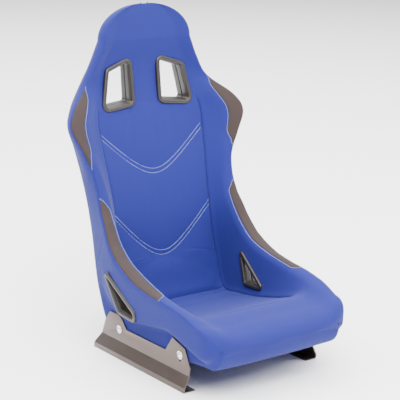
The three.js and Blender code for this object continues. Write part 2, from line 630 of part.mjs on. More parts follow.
function addFrame() {
  addPart('perimeter_tube', perimeterTube(0), FRAME_STEEL);
  SIDES.forEach(([name, side]) => {
    addPart(`${name}_side_rail`, sideRail(side, 0), FRAME_STEEL);
    addMountingPlate(name, side);
    addBracket(name, side);
    [['rear', BOLT_REAR], ['front', BOLT_FRONT]].forEach(([where, at]) => {
      addPart(`${name}_${where}_bolt`, boltGeometry(side, at), ZINC);
      addPart(`${name}_${where}_washer`, washerGeometry(side, at), ZINC);
    });
  });
  CROSS_TUBES.forEach(({ name, half, y, z }) => addPart(name,
    crossTube(half, y, z, CROSS_R), FRAME_STEEL));
}

const STRAPS = [
  { name: 'front_seat_strap', half: 178, y: -55, z: 87, tilt: 80 },
  { name: 'rear_seat_strap', half: 178, y: 45, z: 74, tilt: 86 },
  { name: 'lower_back_strap', half: 183, y: 269, z: 370, tilt: -14 },
  { name: 'middle_back_strap', half: 188, y: 291, z: 460, tilt: -14 },
  { name: 'upper_back_strap', half: 192, y: 313, z: 545, tilt: -15 },
];
function addStraps() {
  STRAPS.forEach(({ name, half, y, z, tilt }) => {
    const strap = new THREE.BoxGeometry(2 * half, 1.5, 40);
    strap.rotateX(THREE.MathUtils.degToRad(tilt));
    addPart(name, strap.translate(0, y, z), WEBBING);
  });
}

addCentre();
SIDES.forEach(([name, side]) => addSeatHalf(name, side));
addFrame();
addStraps();

// Stand the seat on the floor with the origin below the middle of its box.
const box = new THREE.Box3().setFromObject(seat);
seat.position.set(0, -(box.min.y + box.max.y) / 2, -box.min.z);

export default seat;
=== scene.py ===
"""Racing seat: sewn covers, wear patches, bezels, side mounts and fasteners round the CAD frame.

Metres, +Z up, the sitter faces -Y. Every piece sits at the origin with its place in its mesh.
"""
import json
import math

import bmesh
import bpy
import numpy as np
from mathutils import Matrix, Vector
from mathutils.bvhtree import BVHTree

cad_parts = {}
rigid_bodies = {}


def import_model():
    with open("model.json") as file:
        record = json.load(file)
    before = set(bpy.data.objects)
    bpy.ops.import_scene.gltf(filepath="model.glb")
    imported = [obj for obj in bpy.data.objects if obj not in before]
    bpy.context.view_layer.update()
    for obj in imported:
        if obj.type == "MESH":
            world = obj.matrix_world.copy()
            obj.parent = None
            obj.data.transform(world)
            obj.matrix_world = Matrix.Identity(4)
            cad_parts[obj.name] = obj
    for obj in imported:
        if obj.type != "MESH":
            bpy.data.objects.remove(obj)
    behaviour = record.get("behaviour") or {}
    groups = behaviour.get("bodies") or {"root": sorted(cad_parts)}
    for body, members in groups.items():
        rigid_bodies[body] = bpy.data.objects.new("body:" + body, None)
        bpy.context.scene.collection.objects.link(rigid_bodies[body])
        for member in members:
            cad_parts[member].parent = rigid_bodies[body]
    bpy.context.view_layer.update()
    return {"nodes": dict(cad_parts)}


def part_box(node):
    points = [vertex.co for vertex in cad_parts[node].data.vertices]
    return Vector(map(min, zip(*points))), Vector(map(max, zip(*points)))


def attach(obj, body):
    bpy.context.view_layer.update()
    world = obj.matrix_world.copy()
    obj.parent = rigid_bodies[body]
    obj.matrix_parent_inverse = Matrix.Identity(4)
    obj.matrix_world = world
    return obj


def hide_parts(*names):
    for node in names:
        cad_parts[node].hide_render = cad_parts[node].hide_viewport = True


bl_info = {
    "name": "Racing Seat",
    "version": (1, 0, 0),
    "blender": (4, 5, 0),
    "location": "View3D > Sidebar > Seat",
    "description": "Builds the cloth, trim, steel and studio of a fixed-back racing seat",
    "category": "Object",
}

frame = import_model()
SEAT = "seat"
MOUNTS = "side_mounts"
MM = 0.001
SIDES = (("left", 1), ("right", -1))

# ------------------------------------------------------------------ the seat's sections
# Eight corners each on the sitter's left half, in millimetres: centre, valley seam, inner
# crest, outer crest, then knee, tuck, rear corner, rear centre. From the lip to the crown.
STATIONS = np.array([
    [[0, -340, 147], [150, -339, 147], [188, -332, 147], [208, -325, 147],
     [214, -322, 147], [212, -322, 147], [198, -328, 147], [0, -340, 147]],
    [[0, -278, 190], [170, -278, 191], [216, -272, 206], [247, -266, 206],
     [242, -272, 124], [213, -278, 104], [208, -290, 86], [0, -290, 82]],
    [[0, -205, 192], [178, -205, 197], [218, -208, 226], [253, -212, 228],
     [247, -207, 142], [212.4, -207, 136], [212, -207, 80], [0, -207, 72]],
    [[0, -140, 163], [184, -140, 172], [218, -132, 239], [259, -138, 243],
     [250, -140, 159], [212.4, -140, 152], [212, -140, 72], [0, -140, 64]],
    [[0, -60, 133], [188, -60, 149], [214, -66, 252], [260, -66, 251],
     [251, -62, 151], [212.4, -60, 142], [212, -60, 67], [0, -60, 60]],
    [[0, 25, 115], [190, 25, 130], [207, 5, 270], [260, 5, 266],
     [251, 16, 144], [212.4, 20, 132], [212, 25, 64], [0, 25, 58]],
    [[0, 105, 108], [191, 100, 120], [204, 69, 291], [258, 77, 300],
     [249, 92, 148], [212.4, 100, 134], [212, 115, 62], [0, 118, 56]],
    [[0, 178, 116], [190, 172, 120], [204, 113, 324], [257, 114, 330],
     [243, 146, 188], [213, 170, 140], [211, 202, 76], [0, 205, 62]],
    [[0, 210, 200], [186, 200, 206], [203, 140, 352], [254, 137, 359],
     [242, 178, 264], [227, 218, 206], [215, 238, 170], [0, 246, 160]],
    [[0, 224, 277], [176, 211, 280], [202, 160, 380], [249, 156, 390],
     [240, 195, 326], [229, 235, 282], [216, 256, 256], [0, 266, 250]],
    [[0, 240, 358], [168, 219, 360], [203, 178, 410], [245, 175, 416],
     [238, 212, 386], [229, 248, 362], [217, 276, 350], [0, 287, 344]],
    [[0, 259, 437], [169, 237, 437], [208, 199, 460], [241, 194, 463],
     [238, 228, 447], [231, 265, 430], [220, 295, 424], [0, 307, 418]],
    [[0, 275, 505], [173, 254, 505], [224, 214, 520], [247, 211, 520],
     [248, 242, 508], [238, 282, 496], [226, 312, 490], [0, 324, 485]],
    [[0, 296, 575], [178, 272, 575], [238, 233, 580], [273, 217, 578],
     [274, 245, 572], [255, 292, 565], [235, 330, 560], [0, 342, 555]],
    [[0, 312, 640], [181, 289, 640], [248, 244, 645], [303, 230, 642],
     [300, 256, 640], [271, 308, 635], [243, 344, 632], [0, 357, 628]],
    [[0, 322, 688], [172, 302, 688], [227, 266, 691], [281, 254, 690],
     [278, 279, 688], [256, 317, 684], [235, 351, 682], [0, 362, 680]],
    [[0, 331, 745], [160, 317, 745], [196, 306, 745], [214, 300, 745],
     [219, 320, 745], [209, 341, 745], [198, 359, 745], [0, 368, 745]],
    [[0, 331, 800], [140, 321, 800], [161, 311, 800], [180, 304, 800],
     [185, 323, 800], [178, 343, 800], [164, 361, 800], [0, 370, 800]],
    [[0, 317, 866], [106, 313, 866], [127, 307, 866], [150, 301, 866],
     [154, 321, 866], [149, 342, 866], [135, 359, 866], [0, 366, 866]],
    [[0, 322, 966], [8, 322, 966], [11, 322, 966], [14, 322, 966],
     [15, 323, 966], [14, 324, 966], [10, 325, 966], [0, 325, 966]],
], dtype=float)
REAR_OF_MOUNT = 236.0  # the mounts' rear end before the seat is centred
STATIONS[:, :, 1] -= REAR_OF_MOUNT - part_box("left_bracket")[1][1] / MM
STATIONS *= MM
CORNER_CUTS = np.array([200, 24, 24, 24, 16, 16, 16, 200]) * MM
MIRROR = np.array([-1.0, 1.0, 1.0])
NOSE, CROWN, LAST = 1, len(STATIONS) - 2, len(STATIONS) - 1
ROLL_END, HIP, SIDE_SPLIT, YOKE_TOP, HEAD = 2.2, 7.0, 8.5, 14.9, 17.4
VALLEY, CREST, CORNER, REAR = 1.0, 3.05, 6.0, 7.0
THIGH_PATCH = {"from": 3.25, "to": 10.75, "cut_from": 0.2, "cut_to": 0.5, "depth": 0.96}
SHOULDER_PATCH = {"from": 12.2, "to": 16.0, "cut_from": 0.8, "cut_to": 0.45, "depth": 1.03}


def round_end(full, end, share, axis):
    """A quarter ellipse from a full section to an end line."""
    angle = share * math.pi / 2
    points = full + (end - full) * (1 - math.sin(angle))
    points[:, axis] = full[:, axis] + (end[:, axis] - full[:, axis]) * math.cos(angle)
    return points


def section_at(u):
    """The eight corners at station u, on a smooth spline between the stations."""
    if u < NOSE:
        return round_end(STATIONS[NOSE], STATIONS[0], u / NOSE, 1)
    if u > CROWN:
        return round_end(STATIONS[CROWN], STATIONS[LAST], LAST - u, 2)
    i = min(int(u), CROWN - 1)
    t = u - i
    p1, p2 = STATIONS[i], STATIONS[i + 1]
    p0 = STATIONS[i - 1] if i > NOSE else 2 * p1 - p2
    p3 = STATIONS[i + 2] if i + 2 <= CROWN else 2 * p2 - p1
    return 0.5 * (2 * p1 + (p2 - p0) * t + (2 * p0 - 5 * p1 + 4 * p2 - p3) * t * t
                  + (3 * p1 - p0 - 3 * p2 + p3) * t ** 3)


def outline_at(corners, vs):
    """Points of the rounded outline; each corner's rounding is centred on its whole number."""
    ring = np.vstack([corners[1] * MIRROR, corners, corners[6] * MIRROR])
    before, here, after = ring[:-2], ring[1:-1], ring[2:]
    back = np.linalg.norm(before - here, axis=1)
    ahead = np.linalg.norm(after - here, axis=1)
    share = np.array([0.8] + [0.45] * 6 + [0.8])
    cut = np.maximum(np.minimum(CORNER_CUTS, share * np.minimum(back, ahead)), 1e-9)
    start = here + (before - here) * (cut / np.maximum(back, 1e-12))[:, None]
    end = here + (after - here) * (cut / np.maximum(ahead, 1e-12))[:, None]
    points = []
    for v in vs:
        k = min(int(v), 7)
        f = v - k
        if 0.25 < f < 0.75:
            t = (f - 0.25) / 0.5
            points.append(end[k] * (1 - t) + start[k + 1] * t)
            continue
        n, t = (k, 0.5 + 2 * f) if f <= 0.25 else (k + 1, 2 * (f - 0.75))
        points.append(start[n] * (1 - t) ** 2 + here[n] * 2 * t * (1 - t) + end[n] * t * t)
    return np.array(points)


def patch_edge(u):
    """Where the bolster's cloth ends and the wear patch begins; the crest where there's none."""
    for patch in (THIGH_PATCH, SHOULDER_PATCH):
        if patch["from"] < u < patch["to"]:
            ramp = min(1.0, (u - patch["from"]) / patch["cut_from"],
                       (patch["to"] - u) / patch["cut_to"])
            if patch is SHOULDER_PATCH:
                ramp = ramp * ramp * (3 - 2 * ramp)
            return CREST - patch["depth"] * ramp
    return CREST


# ------------------------------------------------------------------ the grid over the seat
SEAM_STEPS = np.array([0, 0.8, 1.8, 3.2, 5.0, 7.5]) * MM  # where the mesh is fine by a seam
ROW_STEP = 8 * MM
SHARED = 1e-6  # points closer than this are one point of the cloth
# Each seam's depth and its reach to either side, in millimetres.
VALLEY_SEAM, CREST_SEAM, CORNER_SEAM, PATCH_SEAM = (5, 9), (2.2, 6), (1.4, 5), (1.3, 4.5)
HIP_SEAM, ROLL_SEAM, REAR_SEAM = (5, 14), (1.2, 7), (1.5, 5)
HEAD_SEAM, SPLIT_SEAM = (0.5, 4), (1.2, 5)
PUCKER, SLACK = 0.16 * MM, 0.35 * MM  # waves beside the seams, and over the whole cover
# The sewn chevrons on the back: height at the middle and slope; each is a pair of seams.
CHEVRONS = ((0.493, 0.99), (0.257, 1.18))
CHEVRON_PAIR = 0.013
CHEVRON_ROUND = 0.075
CHEVRON_HOLD = 8 * MM  # the padding stays sewn down this close to a chevron
THREAD_PRESS, PAD_PRESS = (1.3, 0.0022), (1.2, 0.014)  # depth in millimetres, and reach


def fractions(width, step, at_start=True, at_end=True):
    """Shares of a strip's width, close together beside its seams."""
    near = SEAM_STEPS / width
    start = near if at_start else np.array([0.0])
    end = 1 - (near[::-1] if at_end else np.array([0.0]))
    count = max(2, int(round((end[0] - start[-1]) * width / step)))
    return np.concatenate([start, np.linspace(start[-1], end[0], count + 1)[1:-1], end])


def lengths(line):
    """The distance along a line of points, from its start to each."""
    steps = np.linalg.norm(np.diff(line, axis=0), axis=1)
    return np.concatenate([[0], np.cumsum(steps)])


class Cover:
    """The seat's skin as one grid: row i runs round the seat, column j along it."""

    def __init__(self, seam_depth):
        self.rows = self._rows()
        # The strips from the centre line out: centre, bolster, wear patch and flank.
        self.strips = (fractions(0.18, 0.009, at_start=False), fractions(0.14, 0.008),
                       fractions(0.05, 0.006), fractions(0.2, 0.009))
        self.edges = [0, *np.cumsum([len(shares) - 1 for shares in self.strips]).tolist()]
        # The rear's columns face the front's, so the two close at the lip and the crown.
        lip = self._front(self.rows[0])[:self.edges[3] + 1, 0]
        self.rear_shares = 1 - lip[::-1] / lip[-1]
        half = np.array([self._row(u) for u in self.rows])
        self.half_columns = half.shape[1]
        self.middle = self.half_columns - 1
        right = half[:, :0:-1] * MIRROR
        self.points = np.concatenate([right, half], axis=1)
        self._measure()
        self._sew(seam_depth)

    def _rows(self):
        """The stations of the rows: fine beside the seams, even between them."""
        dense = np.arange(0, LAST + 1e-9, 0.01)
        arc = lengths(np.array([outline_at(section_at(u), [VALLEY])[0] for u in dense]))
        wanted = [0.0, float(LAST)]
        for u in (ROLL_END, HIP, SIDE_SPLIT, HEAD, THIGH_PATCH["from"], THIGH_PATCH["to"],
                  SHOULDER_PATCH["from"], SHOULDER_PATCH["to"]):
            where = np.interp(u, dense, arc)
            wanted.append(u)
            for step in SEAM_STEPS[1:]:
                wanted += [np.interp(where + way * step, arc, dense) for way in (-1, 1)]
        for patch in (THIGH_PATCH, SHOULDER_PATCH):
            wanted += [patch["from"] + patch["cut_from"], patch["to"] - patch["cut_to"]]
        fixed = sorted(set(np.round(wanted, 5)))
        rows = []
        for low, high in zip(fixed[:-1], fixed[1:]):
            span = np.interp(high, dense, arc) - np.interp(low, dense, arc)
            count = max(1, int(round(span / ROW_STEP)))
            rows += list(np.linspace(low, high, count + 1)[:-1])
        return np.array(rows + [fixed[-1]])

    def _front(self, u):
        """A row's points from the centre line to the rear corner, strip by strip."""
        corners = section_at(u)
        bounds = (0.0, VALLEY, patch_edge(u), CREST, CORNER)
        points = []
        for low, high, shares in zip(bounds[:-1], bounds[1:], self.strips):
            vs = np.linspace(low, high, 50)
            arc = lengths(outline_at(corners, vs))
            if arc[-1] < 1e-7:
                arc = np.linspace(0, 1e-7, len(arc))
            strip = outline_at(corners, np.interp(shares * arc[-1], arc, vs))
            points += list(strip if not points else strip[1:])
        return np.array(points)

    def _row(self, u):
        front = self._front(u)
        if 0 < u < LAST:
            rear = outline_at(section_at(u), CORNER + self.rear_shares[1:])
        else:
            rear = front[self.edges[3] - 1::-1]
        return np.vstack([front, rear])

    def _measure(self):
        """Distances along and across the cover, normals, and which points are one point."""
        p = self.points
        along = np.linalg.norm(np.diff(p, axis=0), axis=2)
        self.down = np.vstack([np.zeros(p.shape[1]), np.cumsum(along, axis=0)])
        across = np.linalg.norm(np.diff(p, axis=1), axis=2)
        arc = np.hstack([np.zeros((len(p), 1)), np.cumsum(across, axis=1)])
        self.across = arc - arc[:, [self.middle]]
        du, dv = np.gradient(p, axis=0), np.gradient(p, axis=1)
        normal = np.cross(dv, du)
        # Where columns bunch up the cross product fades, so neighbours lend their direction.
        length = np.linalg.norm(normal, axis=2, keepdims=True)
        weak = length[..., 0] < 1e-12
        normal = normal / np.maximum(length, 1e-12)
        for _ in range(40):
            if not weak.any():
                break
            spread = sum(np.roll(normal, s, axis=1) for s in (-1, 1)) + \
                sum(np.roll(normal, s, axis=0) for s in (-1, 1))
            size = np.linalg.norm(spread, axis=2)
            fill = weak & (size > 0.1)
            normal[fill] = spread[fill] / size[fill][:, None]
            weak &= ~fill
        # Points that share a place are one point of the cloth, with one normal.
        places = np.round(p.reshape(-1, 3) / SHARED).astype(np.int64)
        _, self.ids = np.unique(places, axis=0, return_inverse=True)
        self.ids = self.ids.ravel()
        shared = self.shared(normal.reshape(-1, 3))
        shared /= np.maximum(np.linalg.norm(shared, axis=1, keepdims=True), 1e-9)
        self.normals = shared.reshape(normal.shape)

    def shared(self, values):
        """The mean of a value over the grid points that share a place."""
        count = np.bincount(self.ids)
        return np.stack([(np.bincount(self.ids, weights=v) / count)[self.ids]
                         for v in values.T], axis=1)

    def column(self, edge, side=1):
        """The column of a seam: 1 the valley, 2 the patch's edge, 3 the crest, 4 the corner."""
        return self.middle + side * self.edges[edge]

    def row(self, u):
        return int(np.argmin(abs(self.rows - u)))

    def _sew(self, depth):
        """Rolls the cloth into its seams and puckers it a little beside them."""
        u = self.rows[:, None]
        dip = np.zeros(self.points.shape[:2])

        def roll(distance, seam, share):
            strength, reach = seam
            x = np.clip(1 - distance / (reach * MM), 0, 1)
            nonlocal dip
            dip = np.maximum(dip, strength * depth * share
                             * (1 - np.sqrt(np.clip(1 - x * x, 0, 1))))

        def fade(low, high, blur=0.4):
            rise = np.clip((u - low) / blur, 0, 1)
            fall = np.clip((high - u) / blur, 0, 1)
            return np.minimum(rise, fall) ** 2 * (3 - 2 * np.minimum(rise, fall))

        def beside(edge, side):
            return abs(self.across - self.across[:, [self.column(edge, side)]])

        for side in (1, -1):
            roll(beside(1, side), VALLEY_SEAM, fade(2.4, 15.2, 0.9))
            roll(beside(3, side), CREST_SEAM, 0.25 + 0.75 * fade(0.6, 16.6, 0.6))
            roll(beside(4, side), CORNER_SEAM, fade(0.4, 18.6, 0.4))
            for patch in (THIGH_PATCH, SHOULDER_PATCH):
                inside = fade(patch["from"] - 0.02, patch["to"] + 0.02, 0.05)
                roll(beside(2, side), PATCH_SEAM, inside)
        column = np.arange(self.points.shape[1])[None, :]
        out = abs(column - self.middle)
        centre, behind = out <= self.edges[1], out >= self.edges[4]
        flank = (out >= self.edges[3]) & (out <= self.edges[4])

        def from_row(station):
            return abs(self.down - self.down[[self.row(station)]])

        for station, seam, where in (
                (HIP, HIP_SEAM, centre), (ROLL_END, ROLL_SEAM, centre),
                (HIP, REAR_SEAM, behind), (ROLL_END, REAR_SEAM, behind),
                (HEAD, REAR_SEAM, behind), (HEAD, HEAD_SEAM, flank),
                (SIDE_SPLIT, SPLIT_SEAM, flank)):
            roll(from_row(station), seam, where * 1.0)
        pucker = np.zeros_like(dip)
        for side in (1, -1):
            for edge, reach in ((1, 16 * MM), (3, 12 * MM)):
                near = beside(edge, side)
                wave = np.sin(self.down / 0.0091 + 2 * side) + np.sin(self.down / 0.0057 + edge)
                pucker += wave * np.exp(-(near / reach) ** 2) * (1 - np.exp(-(near / 0.003) ** 2))
        slack = np.sin(self.points[..., 2] / 0.071 + 3 * np.sin(self.across / 0.083)) \
            * np.sin(self.across / 0.059 + self.down / 0.11)
        self.sink = dip * MM - pucker * PUCKER - slack * SLACK
        self._chevrons(centre)
        self.sink = self.shared(self.sink.reshape(-1, 1)).reshape(self.sink.shape)

    def _chevrons(self, centre):
        """The sewn chevrons press into the back's centre panel."""
        ahead = self.normals[..., 1] < 0
        for base, slope in CHEVRONS:
            for shift in (0, -CHEVRON_PAIR):
                gap = (self.points[..., 2] - chevron_height(self.points[..., 0], base, slope)
                       - shift) / np.sqrt(1 + slope ** 2 * 0.6)
                press = sum(deep * np.exp(-(gap / reach) ** 2)
                            for deep, reach in (THREAD_PRESS, PAD_PRESS))
                above = self.rows[:, None] > HIP + 0.2
                self.sink += press * MM * (centre & ahead & above)

    def surface(self):
        return self.points - self.normals * self.sink[..., None]


def chevron_height(x, base, slope):
    """The height of a chevron's seam at x: straight arms with a rounded point."""
    return base + slope * (np.sqrt(x ** 2 + CHEVRON_ROUND ** 2) - CHEVRON_ROUND)


STATE = {}  # the grid and its search tree, each made once


def cover():
    """The seat's grid."""
    if "cover" not in STATE:
        STATE["cover"] = Cover(bpy.context.scene.seat_cloth.seam_depth)
    return STATE["cover"]


# ------------------------------------------------------------------ meshes
SHARP = math.radians(50)


def new_object(name, data):
    """A new object in the scene, at the origin."""
    thing = bpy.data.objects.new(name, data)
    bpy.context.scene.collection.objects.link(thing)
    return thing


def mesh_from(name, points, faces, uvs=None):
    mesh = bpy.data.meshes.new(name)
    mesh.from_pydata([tuple(p) for p in points], [], faces)
    if uvs is not None:
        layer = mesh.uv_layers.new(name="cloth")
        corners = np.empty(len(mesh.loops), dtype=np.int32)
        mesh.loops.foreach_get("vertex_index", corners)
        layer.data.foreach_set("uv", np.asarray(uvs, dtype=np.float32)[corners].ravel())
    mesh.polygons.foreach_set("use_smooth", [True] * len(mesh.polygons))
    mesh.update()
    return mesh


def shell(name, chosen, thickness, extra=()):
    """A closed cloth shell over the chosen quads of the cover grid."""
    grid = cover()
    surface = grid.surface()
    columns = surface.shape[1]
    outer_faces = []
    for i, j in zip(*np.nonzero(chosen)):
        quad = [(i, j), (i, j + 1), (i + 1, j + 1), (i + 1, j)]
        outer_faces.append([a * columns + b for a, b in quad])
    outer_faces += [[a * columns + b for a, b in face] for face in extra]
    flat = surface.reshape(-1, 3)
    inner = (grid.points - grid.normals * thickness).reshape(-1, 3)
    spread = np.stack([grid.across, grid.down], axis=2).reshape(-1, 2)
    used, points, below, uvs = {}, [], [], []

    def vertex(index):
        key = grid.ids[index]
        if key not in used:
            used[key] = len(points)
            points.append(flat[index])
            below.append(inner[index])
            uvs.append(spread[index])
        return used[key]

    faces = []
    for face in outer_faces:
        loop = list(dict.fromkeys(vertex(index) for index in face))
        if len(loop) > 2:
            faces.append(loop)
    edges = dict.fromkeys((a, b) for face in faces for a, b in zip(face, face[1:] + face[:1]))
    count = len(points)
    back = [[n + count for n in reversed(face)] for face in faces]
    rim = [[b, a, a + count, b + count] for a, b in edges if (b, a) not in edges]
    mesh = mesh_from(name, points + below, faces + back + rim, uvs + uvs)
    thing = new_object(name, mesh)
    mesh.set_sharp_from_angle(angle=SHARP)
    return thing


def baked(thing):
    """Applies a piece's modifiers."""
    depsgraph = bpy.context.evaluated_depsgraph_get()
    mesh = bpy.data.meshes.new_from_object(thing.evaluated_get(depsgraph))
    thing.modifiers.clear()
    old = thing.data
    thing.data = mesh
    mesh.name = thing.name
    if old.users == 0:
        bpy.data.meshes.remove(old)
    return thing


def carve(thing, cutters):
    """Cuts solids out of a piece and removes them."""
    for cutter in cutters:
        modifier = thing.modifiers.new("cut", "BOOLEAN")
        modifier.object = cutter
        modifier.operation = "DIFFERENCE"
        modifier.solver = "MANIFOLD"
    baked(thing)
    for cutter in cutters:
        data = cutter.data
        bpy.data.objects.remove(cutter)
        bpy.data.meshes.remove(data)
    return thing


def finish_piece(thing, material, nodes=(), body=SEAT):
    """Gives a piece its material and body, and hides the nodes that it stands for."""
    thing.data.materials.clear()
    thing.data.materials.append(material)
    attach(thing, body)
    if nodes:
        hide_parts(*nodes)
    return thing


# ------------------------------------------------------------------ openings
# Each corner is (x or y, z, outer radius): x for the harness openings, y for the belt ones.
HARNESS_OUTLINE = ((43, 818, 19), (136, 787, 17), (162, 662, 22), (41, 675, 20))
BELT_INNER = ((120, 263, 9), (80, 150, 14), (-24, 152, 12))
BELT_OUTER = ((160, 270, 11), (87, 144, 20), (-74, 139, 21))
# The rim's section: inwards from its outer edge, and proud of the cloth.
RIM_SECTION = np.array([(-0.6, -1.2), (-1.1, 0.6), (-0.6, 2.8), (1.4, 4.8),
                        (4.4, 5.6), (7.8, 5.3), (10.2, 4.2), (11.3, 2.2), (11.6, -1.8),
                        (11.9, -2.8), (13.2, -3.2), (13.6, -4.2)]) * MM
RIM_ROOT = 3 * MM  # how far the rim's outer wall goes into the cloth
SLEEVE_WALL = 2.4 * MM
RIM_LIP = 1.5 * MM
TIGHTEST = 1.6 * MM  # the rim's smallest inner radius
SLEEVE_SHARE = 0.498  # each half of the sleeve ends just short of the middle
PAST_SKIN = 0.02  # how far an opening's cutter starts outside the cloth


def rounded_outline(corners, inset=0.0, per_corner=10, per_edge=12):
    """A polygon with each corner rounded to its own radius, moved in by inset.

    Every inset gives the same number of points, so the outlines of one rim loft cleanly."""
    p = np.array(corners, dtype=float)[:, :2] * MM
    radii = np.maximum(np.array(corners, dtype=float)[:, 2] * MM - inset, TIGHTEST)
    turn = np.sign(np.sum(p[:, 0] * np.roll(p[:, 1], -1) - np.roll(p[:, 0], -1) * p[:, 1]))
    ahead = np.roll(p, -1, axis=0) - p
    ahead /= np.linalg.norm(ahead, axis=1, keepdims=True)
    inward = turn * np.stack([-ahead[:, 1], ahead[:, 0]], axis=1)
    arcs = []
    for k in range(len(p)):
        a, b = -ahead[k - 1], ahead[k]
        half = math.acos(np.clip(a @ b, -1, 1)) / 2
        bisector = (a + b) / np.linalg.norm(a + b)
        vertex = p[k] + bisector * inset / math.sin(half)
        centre = vertex + bisector * radii[k] / math.sin(half)
        start, end = -inward[k - 1], -inward[k]
        sweep = math.acos(np.clip(start @ end, -1, 1))
        arcs.append([centre + radii[k] * (start * math.sin((1 - t) * sweep)
                                          + end * math.sin(t * sweep)) / math.sin(sweep)
                     for t in np.linspace(0, 1, per_corner)])
    points = []
    for k, arc in enumerate(arcs):
        points += arc
        onward = arcs[(k + 1) % len(arcs)][0]
        points += [arc[-1] + (onward - arc[-1]) * t
                   for t in np.linspace(0, 1, per_edge + 2)[1:-1]]
    return np.array(points)


def skin_tree():
    """The bare grid, for casting the openings onto it."""
    if "tree" not in STATE:
        grid = cover()
        rows, columns = grid.points.shape[:2]
        faces = [(i * columns + j, i * columns + j + 1, (i + 1) * columns + j + 1,
                  (i + 1) * columns + j) for i in range(rows - 1) for j in range(columns - 1)]
        STATE["tree"] = BVHTree.FromPolygons([Vector(p) for p in grid.points.reshape(-1, 3)],
                                             faces)
    return STATE["tree"]


class Rim:
    """One face of an opening: a plane that carries the rim, and the cloth under it."""

    def __init__(self, kind, side, face):
        self.harness = kind == "harness"
        self.side = side
        if self.harness:
            self.corners = HARNESS_OUTLINE
            self.ray = np.array([0.0, 1.0 - 2 * face, 0.0])
        else:
            self.corners = (BELT_INNER, BELT_OUTER)[face]
            self.ray = np.array([side * (1.0 - 2 * face), 0.0, 0.0])
        skin = self.on_skin(0.0)
        self.centre = skin.mean(axis=0)
        normal = np.linalg.svd(skin - self.centre)[2][2]
        self.normal = -normal * np.sign(normal @ self.ray)
        heights = (skin - self.centre) @ self.normal
        self.centre += self.normal * np.clip(np.percentile(heights, 80), 0, 4 * MM)

    def starts(self, inset):
        flat = rounded_outline(self.corners, inset)
        if self.harness:
            start = np.stack([self.side * flat[:, 0], flat[:, 0] * 0, flat[:, 1]], axis=1)
        else:
            shift = STATIONS[4, 0, 1] + 60 * MM  # the centring of the y axis
            start = np.stack([flat[:, 0] * 0, flat[:, 0] + shift, flat[:, 1]], axis=1)
        if self.harness or self.ray[0] * self.side < 0:
            start = start - self.ray
        return start

    def on_skin(self, inset):
        hits = [skin_tree().ray_cast(Vector(o), Vector(self.ray)) for o in self.starts(inset)]
        return np.array([tuple(hit[0]) for hit in hits])

    def ring(self, inset, proud):
        """The outline in the rim's plane, moved in by inset and lifted."""
        start = self.starts(inset)
        reach = ((self.centre - start) @ self.normal) / (self.ray @ self.normal)
        return start + reach[:, None] * self.ray + self.normal * proud


def opening_cutter(kind, side, inset=4 * MM):
    """A solid through both faces of an opening, a little inside the rims' outer edge."""
    rims = [Rim(kind, side, face) for face in (0, 1)]
    rings = [rim.on_skin(inset) - rim.ray * PAST_SKIN for rim in rims]
    count = len(rings[0])
    points = np.vstack(rings)
    faces = [[k, (k + 1) % count, count + (k + 1) % count, count + k] for k in range(count)]
    faces += [list(range(count))[::-1], list(range(count, 2 * count))]
    thing = new_object("cutter", mesh_from("cutter", points, faces))
    outward(thing.data)
    return thing


def cutters_for(*kinds):
    """Cutters for the openings of the given kinds, on both sides."""
    return [opening_cutter(kind, side) for kind in kinds for _, side in SIDES]


def outward(mesh):
    """Makes every face of a closed mesh point out."""
    work = bmesh.new()
    work.from_mesh(mesh)
    bmesh.ops.recalc_face_normals(work, faces=work.faces)
    work.to_mesh(mesh)
    work.free()
    mesh.update()


def bezel(name, kind, side, face):
    """A moulded rim with its half of the sleeve through the seat."""
    rim, other = Rim(kind, side, face), Rim(kind, side, 1 - face)
    skin = rim.on_skin(RIM_SECTION[0][0]) - rim.normal * RIM_ROOT
    rings = [skin] + [rim.ring(a, h) for a, h in RIM_SECTION]
    last_in, last_proud = RIM_SECTION[-1]
    mine, theirs = rings[-1], other.ring(last_in, last_proud)
    middle = mine + (theirs - mine) * SLEEVE_SHARE
    rings += [mine + (middle - mine) * t for t in (0.5, 1.0)]
    behind, beyond = (r.ring(last_in - SLEEVE_WALL, last_proud) for r in (rim, other))
    rings += [behind + (beyond - behind) * SLEEVE_SHARE,
              rim.ring(last_in - SLEEVE_WALL, last_proud - RIM_LIP),
              rim.ring(1 * MM, last_proud - RIM_LIP)]
    count, turns = len(skin), len(rings)
    faces = [[r * count + k, r * count + (k + 1) % count,
              ((r + 1) % turns) * count + (k + 1) % count, ((r + 1) % turns) * count + k]
             for r in range(turns) for k in range(count)]
    uvs = [(k / count, r / turns) for r in range(turns) for k in range(count)]
    thing = new_object(name, mesh_from(name, np.vstack(rings), faces, uvs))
    outward(thing.data)
    modifier = thing.modifiers.new("smooth", "SUBSURF")
    modifier.levels = modifier.render_levels = 1
    return baked(thing)


# ------------------------------------------------------------------ material groups
def socket(tree, name, kind, default=None, out=False, low=None, high=None):
    made = tree.interface.new_socket(name, in_out="OUTPUT" if out else "INPUT",
                                     socket_type="NodeSocket" + kind)
    if default is not None:
        made.default_value = default
    if low is not None:
        made.min_value, made.max_value = low, high
    return made


